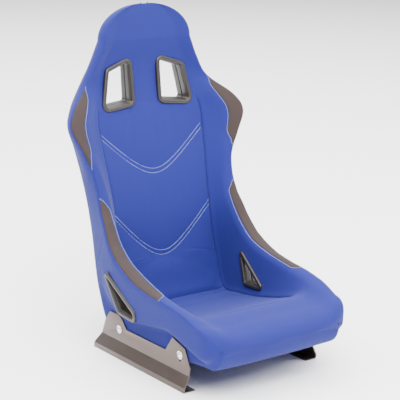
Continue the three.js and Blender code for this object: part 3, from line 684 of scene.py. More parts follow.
class Tree:
    """A short way to add nodes and links to a node tree."""

    def __init__(self, tree):
        self.tree = tree

    def node(self, kind, inputs=(), **settings):
        node = self.tree.nodes.new(kind)
        for key, value in settings.items():
            setattr(node, key, value)
        for key, value in dict(inputs).items():
            self.feed(value, node.inputs[key])
        return node

    def feed(self, value, into):
        if isinstance(value, bpy.types.NodeSocket):
            self.tree.links.new(value, into)
        else:
            into.default_value = value

    def math(self, operation, a, b=0.0, clamp=False):
        return self.node("ShaderNodeMath", {0: a, 1: b}, operation=operation,
                         use_clamp=clamp).outputs[0]

    def mix(self, share, a, b):
        node = self.node("ShaderNodeMix", data_type="RGBA")
        self.feed(share, node.inputs[0])
        self.feed(a, node.inputs[6])
        self.feed(b, node.inputs[7])
        return node.outputs[2]

    def ramp(self, value, low, high):
        return self.node("ShaderNodeMapRange", {0: value, 1: low, 2: high, 3: 0.0, 4: 1.0},
                         interpolation_type="SMOOTHSTEP").outputs[0]


def group(name, inputs, outputs, build):
    """Builds a shader node group once."""
    if name in bpy.data.node_groups:
        return bpy.data.node_groups[name]
    tree = bpy.data.node_groups.new(name, "ShaderNodeTree")
    for args in inputs:
        socket(tree, *args)
    for args in outputs:
        socket(tree, *args, out=True)
    made = Tree(tree)
    source = tree.nodes.new("NodeGroupInput").outputs
    sink = tree.nodes.new("NodeGroupOutput").inputs
    for key, value in build(made, source).items():
        tree.links.new(value, sink[key])
    return tree


def knit_group():
    """A fine warp knit: wales and courses in the cover's own coordinates, plus soft mottling."""
    def build(t, i):
        parts = t.node("ShaderNodeSeparateXYZ", {0: i["Vector"]})
        wales = t.math("SINE", t.math("MULTIPLY", parts.outputs[0], i["Wales"]))
        courses = t.math("SINE", t.math("MULTIPLY", parts.outputs[1], i["Courses"]))
        loops = t.math("MULTIPLY", t.math("ADD", wales, 1.0), t.math("ADD", courses, 1.0))
        height = t.math("MULTIPLY", loops, 0.25)
        mottle = t.node("ShaderNodeTexNoise", {"Vector": i["Place"], "Scale": i["Mottling"],
                                               "Detail": 4.0, "Roughness": 0.6})
        fuzz = t.node("ShaderNodeTexNoise", {"Vector": i["Place"], "Scale": 900.0,
                                             "Detail": 2.0})
        shade = t.math("ADD", t.math("MULTIPLY", t.math("SUBTRACT", height, 0.5), 0.10),
                       t.math("MULTIPLY", t.math("SUBTRACT", mottle.outputs[0], 0.5), 0.12))
        shade = t.math("ADD", shade,
                       t.math("MULTIPLY", t.math("SUBTRACT", fuzz.outputs[0], 0.5), 0.10))
        lit = t.math("ADD", 0.5, shade, clamp=True)
        return {"Color": t.mix(lit, i["Dark"], i["Light"]),
                "Height": t.math("ADD", height, t.math("MULTIPLY", fuzz.outputs[0], 0.5)),
                "Roughness": t.math("ADD", 0.78, t.math("MULTIPLY", mottle.outputs[0], 0.14))}
    return group("Knit", [("Vector", "Vector"), ("Place", "Vector"),
                          ("Wales", "Float", 5200.0), ("Courses", "Float", 4300.0),
                          ("Mottling", "Float", 38.0),
                          ("Dark", "Color", (0.03, 0.06, 0.3, 1)),
                          ("Light", "Color", (0.1, 0.16, 0.55, 1))],
                 [("Color", "Color"), ("Height", "Float"), ("Roughness", "Float")], build)


def dust_group():
    """Dust that settles on upward faces, in soft patches."""
    def build(t, i):
        up = t.node("ShaderNodeSeparateXYZ",
                    {0: t.node("ShaderNodeNewGeometry").outputs["Normal"]}).outputs[2]
        patch = t.node("ShaderNodeTexNoise", {"Vector": i["Place"], "Scale": i["Scale"],
                                              "Detail": 6.0, "Roughness": 0.65})
        mask = t.math("MULTIPLY", t.ramp(up, 0.2, 1.0), t.ramp(patch.outputs[0], 0.4, 0.75))
        return {"Mask": t.math("MULTIPLY", mask, i["Amount"])}
    return group("Dust", [("Place", "Vector"), ("Scale", "Float", 30.0),
                          ("Amount", "Float", 0.2)], [("Mask", "Float")], build)


def grain_group():
    """Fine moulded or powder-coated grain, as a height and a roughness change."""
    def build(t, i):
        fine = t.node("ShaderNodeTexNoise", {"Vector": i["Place"], "Scale": i["Scale"],
                                             "Detail": 3.0, "Roughness": 0.55})
        broad = t.node("ShaderNodeTexNoise", {"Vector": i["Place"], "Scale": 18.0,
                                              "Detail": 5.0, "Roughness": 0.6})
        return {"Height": fine.outputs[0],
                "Value": t.math("MULTIPLY", t.math("SUBTRACT", broad.outputs[0], 0.5),
                                i["Spread"])}
    return group("Grain", [("Place", "Vector"), ("Scale", "Float", 1200.0),
                           ("Spread", "Float", 0.2)],
                 [("Height", "Float"), ("Value", "Float")], build)


def new_material(name):
    material = bpy.data.materials.new(name)
    material.use_nodes = True
    tree = Tree(material.node_tree)
    shader = material.node_tree.nodes["Principled BSDF"]
    place = tree.node("ShaderNodeTexCoord")
    return material, tree, shader, place


def use_group(tree, node_tree, inputs):
    node = tree.node("ShaderNodeGroup")
    node.node_tree = node_tree
    for key, value in inputs.items():
        tree.feed(value, node.inputs[key])
    return node.outputs


def bump(tree, height, strength, distance):
    return tree.node("ShaderNodeBump", {"Strength": strength, "Distance": distance,
                                        "Height": height}).outputs[0]


def shades(colour, low, high):
    return [tuple(c * f for c in colour[:3]) + (1,) for f in (low, high)]


def knit_material(name, colour, sheen, wales=5200.0, low=0.72, high=1.28):
    """Knitted cloth with a soft nap."""
    if name in bpy.data.materials:
        return bpy.data.materials[name]
    material, tree, shader, place = new_material(name)
    dark, light = shades(colour, low, high)
    knit = use_group(tree, knit_group(), {
        "Vector": place.outputs["UV"], "Place": place.outputs["Object"], "Wales": wales,
        "Dark": dark, "Light": light})
    dust = use_group(tree, dust_group(), {"Place": place.outputs["Object"], "Amount": 0.008})
    base = tree.mix(dust["Mask"], knit["Color"], (0.25, 0.25, 0.28, 1))
    tree.feed(base, shader.inputs["Base Color"])
    tree.feed(knit["Roughness"], shader.inputs["Roughness"])
    tree.feed(bump(tree, knit["Height"], 0.35, 0.0004), shader.inputs["Normal"])
    shader.inputs["Sheen Weight"].default_value = sheen
    shader.inputs["Sheen Roughness"].default_value = 0.4
    shader.inputs["Sheen Tint"].default_value = (0.62, 0.7, 1.0, 1)
    shader.inputs["Specular IOR Level"].default_value = 0.12
    return material


def coated_material(name, colour, roughness, metallic, grain=1200.0, depth=0.3, coat=0.0,
                    dust_amount=0.12):
    """Painted, plated or moulded surface with grain, uneven gloss and a little dust."""
    if name in bpy.data.materials:
        return bpy.data.materials[name]
    material, tree, shader, place = new_material(name)
    grains = use_group(tree, grain_group(), {"Place": place.outputs["Object"], "Scale": grain,
                                             "Spread": 0.25})
    dust = use_group(tree, dust_group(), {"Place": place.outputs["Object"],
                                          "Amount": dust_amount})
    dark, light = shades(colour, 0.8, 1.2)
    lit = tree.math("ADD", 0.5, tree.math("MULTIPLY", grains["Value"], 2.0), clamp=True)
    base = tree.mix(dust["Mask"], tree.mix(lit, dark, light), (0.5, 0.48, 0.46, 1))
    tree.feed(base, shader.inputs["Base Color"])
    rough = tree.math("ADD", roughness, tree.math("MULTIPLY", grains["Value"], 0.5))
    rough = tree.math("ADD", rough, tree.math("MULTIPLY", dust["Mask"], 0.4), clamp=True)
    tree.feed(rough, shader.inputs["Roughness"])
    shader.inputs["Metallic"].default_value = metallic
    tree.feed(bump(tree, grains["Height"], depth, 0.0003), shader.inputs["Normal"])
    if coat:
        shader.inputs["Coat Weight"].default_value = coat
        shader.inputs["Coat Roughness"].default_value = 0.2
    return material


def blue_knit():
    return knit_material("Blue knit", bpy.context.scene.seat_cloth.colour, 0.12)


def wear_cloth():
    return knit_material("Wear cloth", bpy.context.scene.seat_cloth.wear_colour, 0.1,
                         wales=3600.0, low=0.6, high=1.4)


def thread():
    return knit_material("Thread", bpy.context.scene.seat_cloth.thread_colour, 0.2,
                         wales=9000.0, low=0.85, high=1.15)


def satin_plastic():
    return coated_material("Satin plastic", bpy.context.scene.seat_trim.colour, 0.42, 0.0,
                           grain=1600.0, depth=0.15, dust_amount=0.02)


def bracket_paint():
    return coated_material("Bracket powder coat", bpy.context.scene.seat_steel.bracket_colour,
                           0.32, 0.85, grain=900.0, depth=0.15, dust_amount=0.04)


def zinc_plate():
    return coated_material("Zinc plate", bpy.context.scene.seat_steel.zinc_colour, 0.24, 0.95,
                           grain=2200.0, depth=0.12, dust_amount=0.03)


def frame_paint():
    return coated_material("Frame paint", (0.03, 0.03, 0.032), 0.45, 0.3)


def webbing():
    return knit_material("Webbing", (0.02, 0.02, 0.022), 0.1, wales=2400.0)


# ------------------------------------------------------------------ settings
def length(name, text, default):
    return bpy.props.FloatProperty(name=name, description=text, default=default, min=0.0,
                                   unit="LENGTH", subtype="DISTANCE")


def colour(name, text, default):
    return bpy.props.FloatVectorProperty(name=name, description=text, default=default, size=3,
                                         min=0.0, max=1.0, subtype="COLOR")


class SeatCloth(bpy.types.PropertyGroup):
    """The sewn covers."""
    thickness: length("Cloth thickness", "Cloth with its foam backing", 0.004)
    seam_depth: bpy.props.FloatProperty(
        name="Seam depth", description="How far the cloth rolls into its seams, as a share",
        default=1.0, min=0.0, max=2.0, subtype="FACTOR")
    puff: length("Most puff", "How far a padded panel may swell", 0.005)
    stitch_length: length("Stitch length", "One visible stitch", 0.0042)
    stitch_pitch: length("Stitch pitch", "From one stitch to the next", 0.0052)
    thread_radius: length("Thread radius", "Half the sewing thread's width", 0.00055)
    colour: colour("Cloth colour", "The seat's knit", (0.0135, 0.0165, 0.138))
    wear_colour: colour("Wear patch colour", "The patches on the bolsters",
                        (0.036, 0.026, 0.024))
    thread_colour: colour("Thread colour", "The contrast stitching", (0.30, 0.38, 0.72))


class SeatTrim(bpy.types.PropertyGroup):
    """The moulded bezels."""
    colour: colour("Plastic colour", "The bezels round the openings", (0.014, 0.0105, 0.009))


class SeatSteel(bpy.types.PropertyGroup):
    """The side mounts and their fasteners."""
    bend_radius: length("Bend radius", "Outside radius of the mounts' bends", 0.0022)
    edge_radius: length("Edge radius", "Rounding of the mounts' cut edges", 0.0004)
    bolt_head: length("Bolt head radius", "Button head", 0.0084)
    bracket_colour: colour("Mount colour", "Powder coat", (0.1, 0.078, 0.07))
    zinc_colour: colour("Zinc colour", "Bolts and washers", (0.8, 0.81, 0.83))


class SeatStudio(bpy.types.PropertyGroup):
    """The camera and the light."""
    lens: bpy.props.FloatProperty(name="Lens", description="Focal length in millimetres",
                                  default=125.0, min=10.0, subtype="DISTANCE_CAMERA")
    brightness: bpy.props.FloatProperty(name="Brightness", description="Strength of the lights",
                                        default=2.3, min=0.0, subtype="FACTOR")
    floor_colour: colour("Floor colour", "The plain floor", (0.93, 0.93, 0.94))


# ------------------------------------------------------------------ operators: covers
class SeatOperator:
    bl_options = {"REGISTER", "UNDO"}


def quads(grid):
    """Station and column number of every quad's middle."""
    u = (grid.rows[:-1] + grid.rows[1:]) / 2
    column = np.arange(grid.points.shape[1] - 1) + 0.5 - grid.middle
    return u[:, None], abs(column)[None, :], np.sign(column)[None, :]


class SEAT_OT_main_cover(SeatOperator, bpy.types.Operator):
    """Sew the roll, the bolsters and the head in one cover"""
    bl_idname = "seat.main_cover"
    bl_label = "Main cover"

    def execute(self, context):
        grid = cover()
        u, column, _ = quads(grid)
        valley, patch, crest, corner = (grid.edges[k] for k in (1, 2, 3, 4))
        front = (column < patch) & ~((column < valley) & (u > ROLL_END) & (u < YOKE_TOP))
        top_of_patch = (column > patch) & (column < crest) & no_patch(u)
        around = u > HEAD
        under = (column > corner) & (u < ROLL_END)
        chosen = front | top_of_patch | around | under
        top = len(grid.rows) - 1
        lip = closing(grid, 0, crest, -1)
        crown = closing(grid, top, crest, 1)
        sides = [[(top, grid.middle + side * j) for j in range(crest, corner + 1)][::side]
                 for side in (1, -1)]
        piece = shell("main_cover", chosen, context.scene.seat_cloth.thickness,
                      lip + crown + sides)
        carve(piece, cutters_for("harness", "belt"))
        finish_piece(piece, blue_knit(),
                     ("front_roll", "upper_back_pad", "headrest", "left_thigh_bolster",
                      "right_thigh_bolster", "left_shoulder_bolster",
                      "right_shoulder_bolster"))
        return {"FINISHED"}


def closing(grid, row, last, way):
    """Faces between the front and the rear columns of an end row, out to a column."""
    rear = grid.half_columns - 1
    return [[(row, grid.middle + side * k) for k in (j, j + 1, rear - 1 - j, rear - j)]
            [::way * side] for side in (1, -1) for j in range(last)]


def no_patch(u):
    """True where a station has no wear patch."""
    inside = np.zeros_like(u, dtype=bool)
    for patch in (THIGH_PATCH, SHOULDER_PATCH):
        inside |= (u > patch["from"]) & (u < patch["to"])
    return ~inside


SIM_FRAMES = 18
PAD_PRESSURE = 1.5
PAD_LAYERS, PATCH_LAYERS, FLANK_LAYERS = 2, 0.8, 0.9  # thickness as a share of the cloth's


def simulate(piece, pinned, pressure, most):
    """Swells a padded shell by a short cloth simulation; pinned points stay where they are."""
    before = np.empty(len(piece.data.vertices) * 3)
    piece.data.vertices.foreach_get("co", before)
    group = piece.vertex_groups.new(name="pinned")
    group.add([int(n) for n in pinned], 1.0, "REPLACE")
    modifier = piece.modifiers.new("cloth", "CLOTH")
    settings = modifier.settings
    settings.quality = 4
    settings.mass = 0.2
    settings.tension_stiffness = settings.compression_stiffness = 12
    settings.bending_stiffness = 0.3
    settings.use_pressure = True
    settings.uniform_pressure_force = pressure
    settings.vertex_group_mass = "pinned"
    settings.effector_weights.gravity = 0
    modifier.collision_settings.use_collision = False
    modifier.point_cache.frame_start, modifier.point_cache.frame_end = 1, SIM_FRAMES
    scene = bpy.context.scene
    for number in range(1, SIM_FRAMES + 1):
        scene.frame_set(number)
    baked(piece)
    scene.frame_set(1)
    after = np.empty(len(before))
    piece.data.vertices.foreach_get("co", after)
    move = (after - before).reshape(-1, 3)
    far = np.linalg.norm(move, axis=1, keepdims=True)
    move *= np.minimum(1, most / np.maximum(far, 1e-9))
    piece.data.vertices.foreach_set("co", (before.reshape(-1, 3) + move).ravel())
    piece.data.update()
    piece.vertex_groups.clear()


class SEAT_OT_centre_pads(SeatOperator, bpy.types.Operator):
    """Sew the seat cushion and the back's centre panel, and swell their padding"""
    bl_idname = "seat.centre_pads"
    bl_label = "Centre pads"

    def execute(self, context):
        grid = cover()
        u, column, _ = quads(grid)
        cloth = context.scene.seat_cloth
        for name, low, high, node in (
                ("seat_cushion_pad", ROLL_END, HIP, "seat_cushion"),
                ("back_centre_pad", HIP, YOKE_TOP, "back_pad")):
            chosen = (column < grid.edges[1]) & (u > low) & (u < high)
            piece = shell(name, chosen, cloth.thickness * PAD_LAYERS)
            finish_piece(piece, blue_knit(), (node,))
            simulate(piece, still_points(piece), PAD_PRESSURE, cloth.puff)
            if node == "back_pad":
                carve(piece, cutters_for("harness"))
        return {"FINISHED"}


def still_points(piece):
    """The pad's underside, its seams and its sewn chevrons, which don't swell."""
    mesh = piece.data
    count = len(mesh.vertices)
    co = np.empty(count * 3)
    mesh.vertices.foreach_get("co", co)
    co = co.reshape(-1, 3)
    pinned = set(range(count // 2, count))
    work = bmesh.new()
    work.from_mesh(mesh)
    work.verts.ensure_lookup_table()
    pinned |= {v.index for v in work.verts if v.index < count // 2
               and any(e.other_vert(v).index >= count // 2 for e in v.link_edges)}
    work.free()
    if piece.name == "back_centre_pad":
        for base, slope in CHEVRONS:
            for shift in (0, -CHEVRON_PAIR):
                gap = co[:, 2] - chevron_height(co[:, 0], base, slope) - shift
                pinned |= set(np.nonzero(abs(gap) < CHEVRON_HOLD)[0].tolist())
    return sorted(pinned)


class SEAT_OT_wear_panels(SeatOperator, bpy.types.Operator):
    """Sew the wear patches on the bolsters' crests"""
    bl_idname = "seat.wear_panels"
    bl_label = "Wear panels"

    def execute(self, context):
        grid = cover()
        u, column, sign = quads(grid)
        strip = (column > grid.edges[2]) & (column < grid.edges[3])
        for side_name, side in SIDES:
            for kind, patch in (("thigh", THIGH_PATCH), ("shoulder", SHOULDER_PATCH)):
                chosen = strip & (sign == side) & (u > patch["from"]) & (u < patch["to"])
                name = f"{side_name}_{kind}_wear_patch"
                piece = shell(name, chosen, context.scene.seat_cloth.thickness * PATCH_LAYERS)
                finish_piece(piece, wear_cloth(),
                             (f"{side_name}_{kind}_wear_panel",))
        return {"FINISHED"}


class SEAT_OT_side_covers(SeatOperator, bpy.types.Operator):
    """Sew the outer sides, lower and upper, on each side"""
    bl_idname = "seat.side_covers"
    bl_label = "Side covers"

    def execute(self, context):
        grid = cover()
        u, column, sign = quads(grid)
        flank = (column > grid.edges[3]) & (column < grid.edges[4])
        for side_name, side in SIDES:
            for part, low, high in (("lower", -1, SIDE_SPLIT), ("upper", SIDE_SPLIT, HEAD)):
                chosen = flank & (sign == side) & (u > low) & (u < high)
                extra = []
                if part == "lower":
                    ring = [(0, grid.middle + side * j)
                            for j in range(grid.edges[3], grid.edges[4] + 1)]
                    extra = [ring[::-side]]
                piece = shell(f"{side_name}_side_cover_{part}", chosen,
                              context.scene.seat_cloth.thickness * FLANK_LAYERS, extra)
                if part == "lower":
                    carve(piece, [opening_cutter("belt", side)])
                finish_piece(piece, blue_knit(),
                             (f"{side_name}_side_panel_{part}",))
        return {"FINISHED"}


class SEAT_OT_rear_covers(SeatOperator, bpy.types.Operator):
    """Sew the back and the underside"""
    bl_idname = "seat.rear_covers"
    bl_label = "Rear covers"

    def execute(self, context):
        grid = cover()
        u, column, _ = quads(grid)
        behind = column > grid.edges[4]
        for name, low, high, node in (("base_cloth", ROLL_END, HIP, "base_cover"),
                                      ("back_cloth", HIP, HEAD, "back_cover")):
            chosen = behind & (u > low) & (u < high)
            piece = shell(name, chosen, context.scene.seat_cloth.thickness * PATCH_LAYERS)
            if name == "back_cloth":
                carve(piece, cutters_for("harness"))
            finish_piece(piece, blue_knit(), (node,))
        return {"FINISHED"}


# ------------------------------------------------------------------ operators: stitching
def stitch_tree(cloth):
    """Geometry nodes: stitches of one length laid end to end along a curve."""
    tree = bpy.data.node_groups.new("Stitches", "GeometryNodeTree")
    tree.interface.new_socket("Geometry", in_out="INPUT", socket_type="NodeSocketGeometry")
    for name, default in (("Pitch", cloth.stitch_pitch), ("Length", cloth.stitch_length),
                          ("Radius", cloth.thread_radius)):
        socket(tree, name, "Float", default)
    socket(tree, "Thread", "Material")
    tree.interface.new_socket("Geometry", in_out="OUTPUT", socket_type="NodeSocketGeometry")
    t = Tree(tree)
    source = tree.nodes.new("NodeGroupInput").outputs
    sink = tree.nodes.new("NodeGroupOutput").inputs
    steps = t.node("GeometryNodeResampleCurve", {"Curve": source["Geometry"],
                                                 "Length": source["Pitch"]}, mode="LENGTH")
    bead = t.node("GeometryNodeMeshUVSphere", {"Segments": 8, "Rings": 6, "Radius": 0.5})
    tangent = t.node("GeometryNodeInputTangent")
    normal = t.node("GeometryNodeInputNormal")
    turn = t.node("FunctionNodeAxesToRotation",
                  {0: normal.outputs[0], 1: tangent.outputs[0]}, primary_axis="Z",
                  secondary_axis="X")
    width = t.node("ShaderNodeMath", {0: source["Radius"], 1: 2.0}, operation="MULTIPLY")
    size = t.node("ShaderNodeCombineXYZ", {0: source["Length"], 1: width.outputs[0],
                                           2: width.outputs[0]})
    beads = t.node("GeometryNodeInstanceOnPoints", {
        "Points": steps.outputs[0], "Instance": bead.outputs[0],
        "Rotation": turn.outputs[0], "Scale": size.outputs[0]})
    solid = t.node("GeometryNodeRealizeInstances", {0: beads.outputs[0]})
    dyed = t.node("GeometryNodeSetMaterial", {"Geometry": solid.outputs[0],
                                              "Material": source["Thread"]})
    tree.links.new(dyed.outputs[0], sink[0])
    return tree


def stitched(name, lines, tree):
    """One mesh of stitches along lines of points."""
    data = bpy.data.curves.new(name, "CURVE")
    data.dimensions = "3D"
    for line in lines:
        spline = data.splines.new("POLY")
        spline.points.add(len(line) - 1)
        spline.points.foreach_set("co", np.hstack([line, np.ones((len(line), 1))]).ravel())
    curve = new_object(name + "_path", data)
    modifier = curve.modifiers.new("stitches", "NODES")
    modifier.node_group = tree
    for item in tree.interface.items_tree:
        if item.in_out == "INPUT" and item.name == "Thread":
            modifier[item.identifier] = thread()
    depsgraph = bpy.context.evaluated_depsgraph_get()
    mesh = bpy.data.meshes.new_from_object(curve.evaluated_get(depsgraph))
    bpy.data.objects.remove(curve)
    bpy.data.curves.remove(data)
    mesh.name = name
    mesh.polygons.foreach_set("use_smooth", [True] * len(mesh.polygons))
    return new_object(name, mesh)


STITCH_COLUMNS = 3  # the patch's stitches run this many columns in from its edge


def smooth_line(points, turns=2):
    """Evens out a line of points, with its ends kept."""
    for _ in range(turns):
        points[1:-1] = (points[:-2] + 2 * points[1:-1] + points[2:]) / 4
    return points


class SEAT_OT_stitching(SeatOperator, bpy.types.Operator):
    """Lay the contrast stitches on the chevrons and along the wear patches"""
    bl_idname = "seat.stitching"
    bl_label = "Stitching"

    def execute(self, context):
        grid = cover()
        cloth = context.scene.seat_cloth
        tree = stitch_tree(cloth)
        lift = cloth.thread_radius * 0.5
        surface = grid.surface()
        pad = bpy.data.objects["back_centre_pad"].data
        pad_surface = BVHTree.FromPolygons([v.co for v in pad.vertices],
                                           [p.vertices for p in pad.polygons])
        width = abs(grid.points[grid.row(12), grid.column(1), 0])
        for number, (base, slope) in enumerate(CHEVRONS, 1):
            lines = []
            for shift in (0, -CHEVRON_PAIR):
                line = []
                for x in np.linspace(-width, width, 160):
                    z = chevron_height(x, base, slope) + shift
                    hit, normal, _, _ = pad_surface.ray_cast(Vector((x, -1, z)),
                                                             Vector((0, 1, 0)))
                    if hit is not None:
                        line.append(tuple(hit + normal * lift))
                lines.append(smooth_line(np.array(line)))
            piece = stitched(f"chevron_stitches_{number}", lines, tree)
            finish_piece(piece, thread())
        for side_name, side in SIDES:
            for kind, patch in (("thigh", THIGH_PATCH), ("shoulder", SHOULDER_PATCH)):
                rows = [i for i, u in enumerate(grid.rows)
                        if patch["from"] - 1e-6 <= u <= patch["to"] + 1e-6]
                j = grid.column(2, side) - side * STITCH_COLUMNS
                line = surface[rows, j] + grid.normals[rows, j] * lift
                piece = stitched(f"{side_name}_{kind}_patch_stitches",
                                 [smooth_line(line)], tree)
                finish_piece(piece, thread())
        return {"FINISHED"}


# ------------------------------------------------------------------ operators: trim and steel
class SEAT_OT_bezels(SeatOperator, bpy.types.Operator):
    """Mould the bezels of the harness and lap-belt openings"""
    bl_idname = "seat.bezels"
    bl_label = "Bezels"

    def execute(self, context):
        for side_name, side in SIDES:
            for kind, faces in (("harness", ("front", "rear")), ("belt", ("inner", "outer"))):
                for number, face in enumerate(faces):
                    node = f"{side_name}_{kind}_bezel_{face}"
                    piece = bezel(node.replace("bezel", "rim"), kind, side, number)
                    finish_piece(piece, satin_plastic(), (node,))
        return {"FINISHED"}


def merged_copy(node, name):
    """A CAD node's mesh as a new piece with shared vertices and flat faces."""
    work = bmesh.new()
    work.from_mesh(frame["nodes"][node].data)
    bmesh.ops.remove_doubles(work, verts=work.verts, dist=1e-6)
    bmesh.ops.dissolve_limit(work, angle_limit=math.radians(1), verts=work.verts,
                             edges=work.edges)
    mesh = bpy.data.meshes.new(name)
    work.to_mesh(mesh)
    work.free()
    return new_object(name, mesh)


BEND_LENGTH = 0.25  # an edge along Y that is longer than this is a bend
STEEL_SHARP = math.radians(35)


class SEAT_OT_side_mounts(SeatOperator, bpy.types.Operator):
    """Press and coat the two steel side mounts"""
    bl_idname = "seat.side_mounts"
    bl_label = "Side mounts"

    def execute(self, context):
        steel = context.scene.seat_steel
        for side_name, _ in SIDES:
            node = f"{side_name}_bracket"
            piece = merged_copy(node, f"{side_name}_side_mount")
            weights = piece.data.attributes.new("bevel_weight_edge", "FLOAT", "EDGE")
            for edge in piece.data.edges:
                a, b = (piece.data.vertices[n].co for n in edge.vertices)
                bend = (b - a).length > BEND_LENGTH and abs((b - a).normalized().y) > 0.999
                weights.data[edge.index].value = 1.0 if bend else (
                    steel.edge_radius / steel.bend_radius)
            modifier = piece.modifiers.new("edges", "BEVEL")
            modifier.width = steel.bend_radius
            modifier.segments = 3
            modifier.limit_method = "WEIGHT"
            baked(piece)
            piece.data.polygons.foreach_set("use_smooth", [True] * len(piece.data.polygons))
            piece.data.set_sharp_from_angle(angle=STEEL_SHARP)
            finish_piece(piece, bracket_paint(), (node,), MOUNTS)
        return {"FINISHED"}


def lathe(name, profile, turns=48):
    """A solid of revolution about X from (x, radius) points that start and end on the axis."""
    points, faces, rings = [], [], []
    for x, r in profile:
        if r == 0:
            rings.append([len(points)])
            points.append((x, 0, 0))
            continue
        rings.append(list(range(len(points), len(points) + turns)))
        points += [(x, r * math.cos(a), r * math.sin(a))
                   for a in np.linspace(0, 2 * math.pi, turns, endpoint=False)]
    for one, two in zip(rings[:-1], rings[1:]):
        for k in range(turns):
            face = [one[k % len(one)], one[(k + 1) % len(one)],
                    two[(k + 1) % len(two)], two[k % len(two)]]
            faces.append(list(dict.fromkeys(face)))
    thing = new_object(name, mesh_from(name, points, faces))
    outward(thing.data)
    return thing


def lathe_ring(name, profile, turns=48):
    """A ring about X from a closed (x, radius) profile."""
    count = len(profile)
    points = [(x, r * math.cos(a), r * math.sin(a))
              for a in np.linspace(0, 2 * math.pi, turns, endpoint=False) for x, r in profile]
    faces = [[t * count + k, t * count + (k + 1) % count,
              ((t + 1) % turns) * count + (k + 1) % count, ((t + 1) % turns) * count + k]
             for t in range(turns) for k in range(count)]
    thing = new_object(name, mesh_from(name, points, faces))
    outward(thing.data)
    thing.data.set_sharp_from_angle(angle=SHARP)
    return thing


def placed(thing, x_sign, place):
    """Turns a piece made along +X to face outwards and puts it in place, in its mesh."""
    turn = Matrix.Rotation(math.pi if x_sign < 0 else 0, 4, "Z")
    thing.data.transform(Matrix.Translation(place) @ turn)
    return thing


# Points are (x, radius) in metres; x is 0 where the head or the washer bears.
SHANK = [(-0.0168, 0), (-0.0168, 0.0034), (-0.0162, 0.004), (0, 0.004)]
HEX_SOCKET = [(0.0016, 0), (0.0016, 0.0029), (0.008, 0.0029), (0.008, 0)]
HEAD_TOP = (0.0053, 0)
DOME_RADIUS, DOME_SWEEP = 5.4 * MM, 0.82
HEAD_SEAT = 4.6 * MM  # from the end of a bolt's CAD head back to the washer
SOCKET_EDGE = 0.00018
BOLT_SHARP = math.radians(40)
WASHER = [(0.0001, 0.0044), (0, 0.0046), (0, 0.0115), (0.0002, 0.0118),
          (0.0012, 0.0118), (0.0016, 0.0113), (0.0016, 0.0048), (0.0013, 0.0044)]


def button_bolt(name, head):
    """A button-head bolt with a hexagon socket, pointing along +X."""
    dome = [(t, head * math.cos(t / DOME_RADIUS * math.pi / 2 * DOME_SWEEP))
            for t in np.linspace(0.6, 5.2, 8) * MM]
    rim = [(0, head - 0.0004), (0.0002, head - 0.0001)]
    piece = lathe(name, SHANK + rim + dome + [HEAD_TOP])
    carve(piece, [lathe("cutter", HEX_SOCKET, turns=6)])
    modifier = piece.modifiers.new("edges", "BEVEL")
    modifier.width, modifier.segments = SOCKET_EDGE, 2
    modifier.angle_limit = BOLT_SHARP
    baked(piece)
    piece.data.set_sharp_from_angle(angle=BOLT_SHARP)
    return piece


class SEAT_OT_fasteners(SeatOperator, bpy.types.Operator):
    """Turn the button-head bolts and their washers"""
    bl_idname = "seat.fasteners"
    bl_label = "Bolts and washers"

    def execute(self, context):
        head = context.scene.seat_steel.bolt_head
        for side_name, side in SIDES:
            for where in ("rear", "front"):
                name = f"{side_name}_{where}"
                low, high = (np.array(corner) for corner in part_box(f"{name}_bolt"))
                _, y, z = (low + high) / 2
                seat_face = high[0] - HEAD_SEAT if side > 0 else low[0] + HEAD_SEAT
                piece = button_bolt(f"{name}_button_bolt", head)
                placed(piece, side, Vector((seat_face, y, z)))
                finish_piece(piece, zinc_plate(), (f"{name}_bolt",))
                low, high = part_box(f"{name}_washer")
                piece = lathe_ring(f"{name}_flat_washer", WASHER)
                placed(piece, side, Vector((low[0] if side > 0 else high[0], y, z)))
                finish_piece(piece, zinc_plate(), (f"{name}_washer",))
        return {"FINISHED"}


class SEAT_OT_inner_frame(SeatOperator, bpy.types.Operator):
    """Paint the tubes, plates and webbing inside the covers"""
    bl_idname = "seat.inner_frame"
    bl_label = "Inner frame"

    def execute(self, context):
        for name, node in frame["nodes"].items():
            if name.endswith("strap"):
                paint = webbing()
            elif name.endswith(("tube", "rail", "plate")):
                paint = frame_paint()
            else:
                continue
            if not node.material_slots:
                node.data.materials.append(paint)
            for place in node.material_slots:
                place.material = paint
        return {"FINISHED"}


# ------------------------------------------------------------------ studio
def area_light(name, where, towards, size, power, tint):
    data = bpy.data.lights.new(name, "AREA")
    data.shape = "RECTANGLE"
    data.size, data.size_y = size
    data.energy = power
    data.color = tint
    light = new_object(name, data)
    light.location = where
    light.rotation_mode = "QUATERNION"
    light.rotation_quaternion = (Vector(towards) - Vector(where)).to_track_quat("-Z", "Y")


SENSOR = 36  # millimetres
CAMERA_PLACE = (-2.2608, -2.9868, 1.4020)
CAMERA_TURN = (-36.857, 14.265, 0.794)  # yaw, pitch and roll, in degrees
FLOOR_HALF = 12.0
SKY_STRENGTH = 0.36
AIM = (0, 0, 0.45)
WHITE, WARM = (1, 1, 1), (1, 0.98, 0.96)
# Name, place, aim, size in metres, power for a brightness of 1, and tint.
LIGHTS = (("Overhead", (0.0, 1.6, 5.5), (0, 1.6, 0), (11, 11), 1150, WHITE),
          ("Key", (-0.9, -2.9, 3.4), AIM, (2.6, 2.6), 150, WHITE),
          ("Left panel", (-3.4, 0.4, 1.9), AIM, (1.6, 2.6), 18, WARM),
          ("Right panel", (3.2, -1.4, 2.2), AIM, (1.6, 2.6), 30, WHITE))


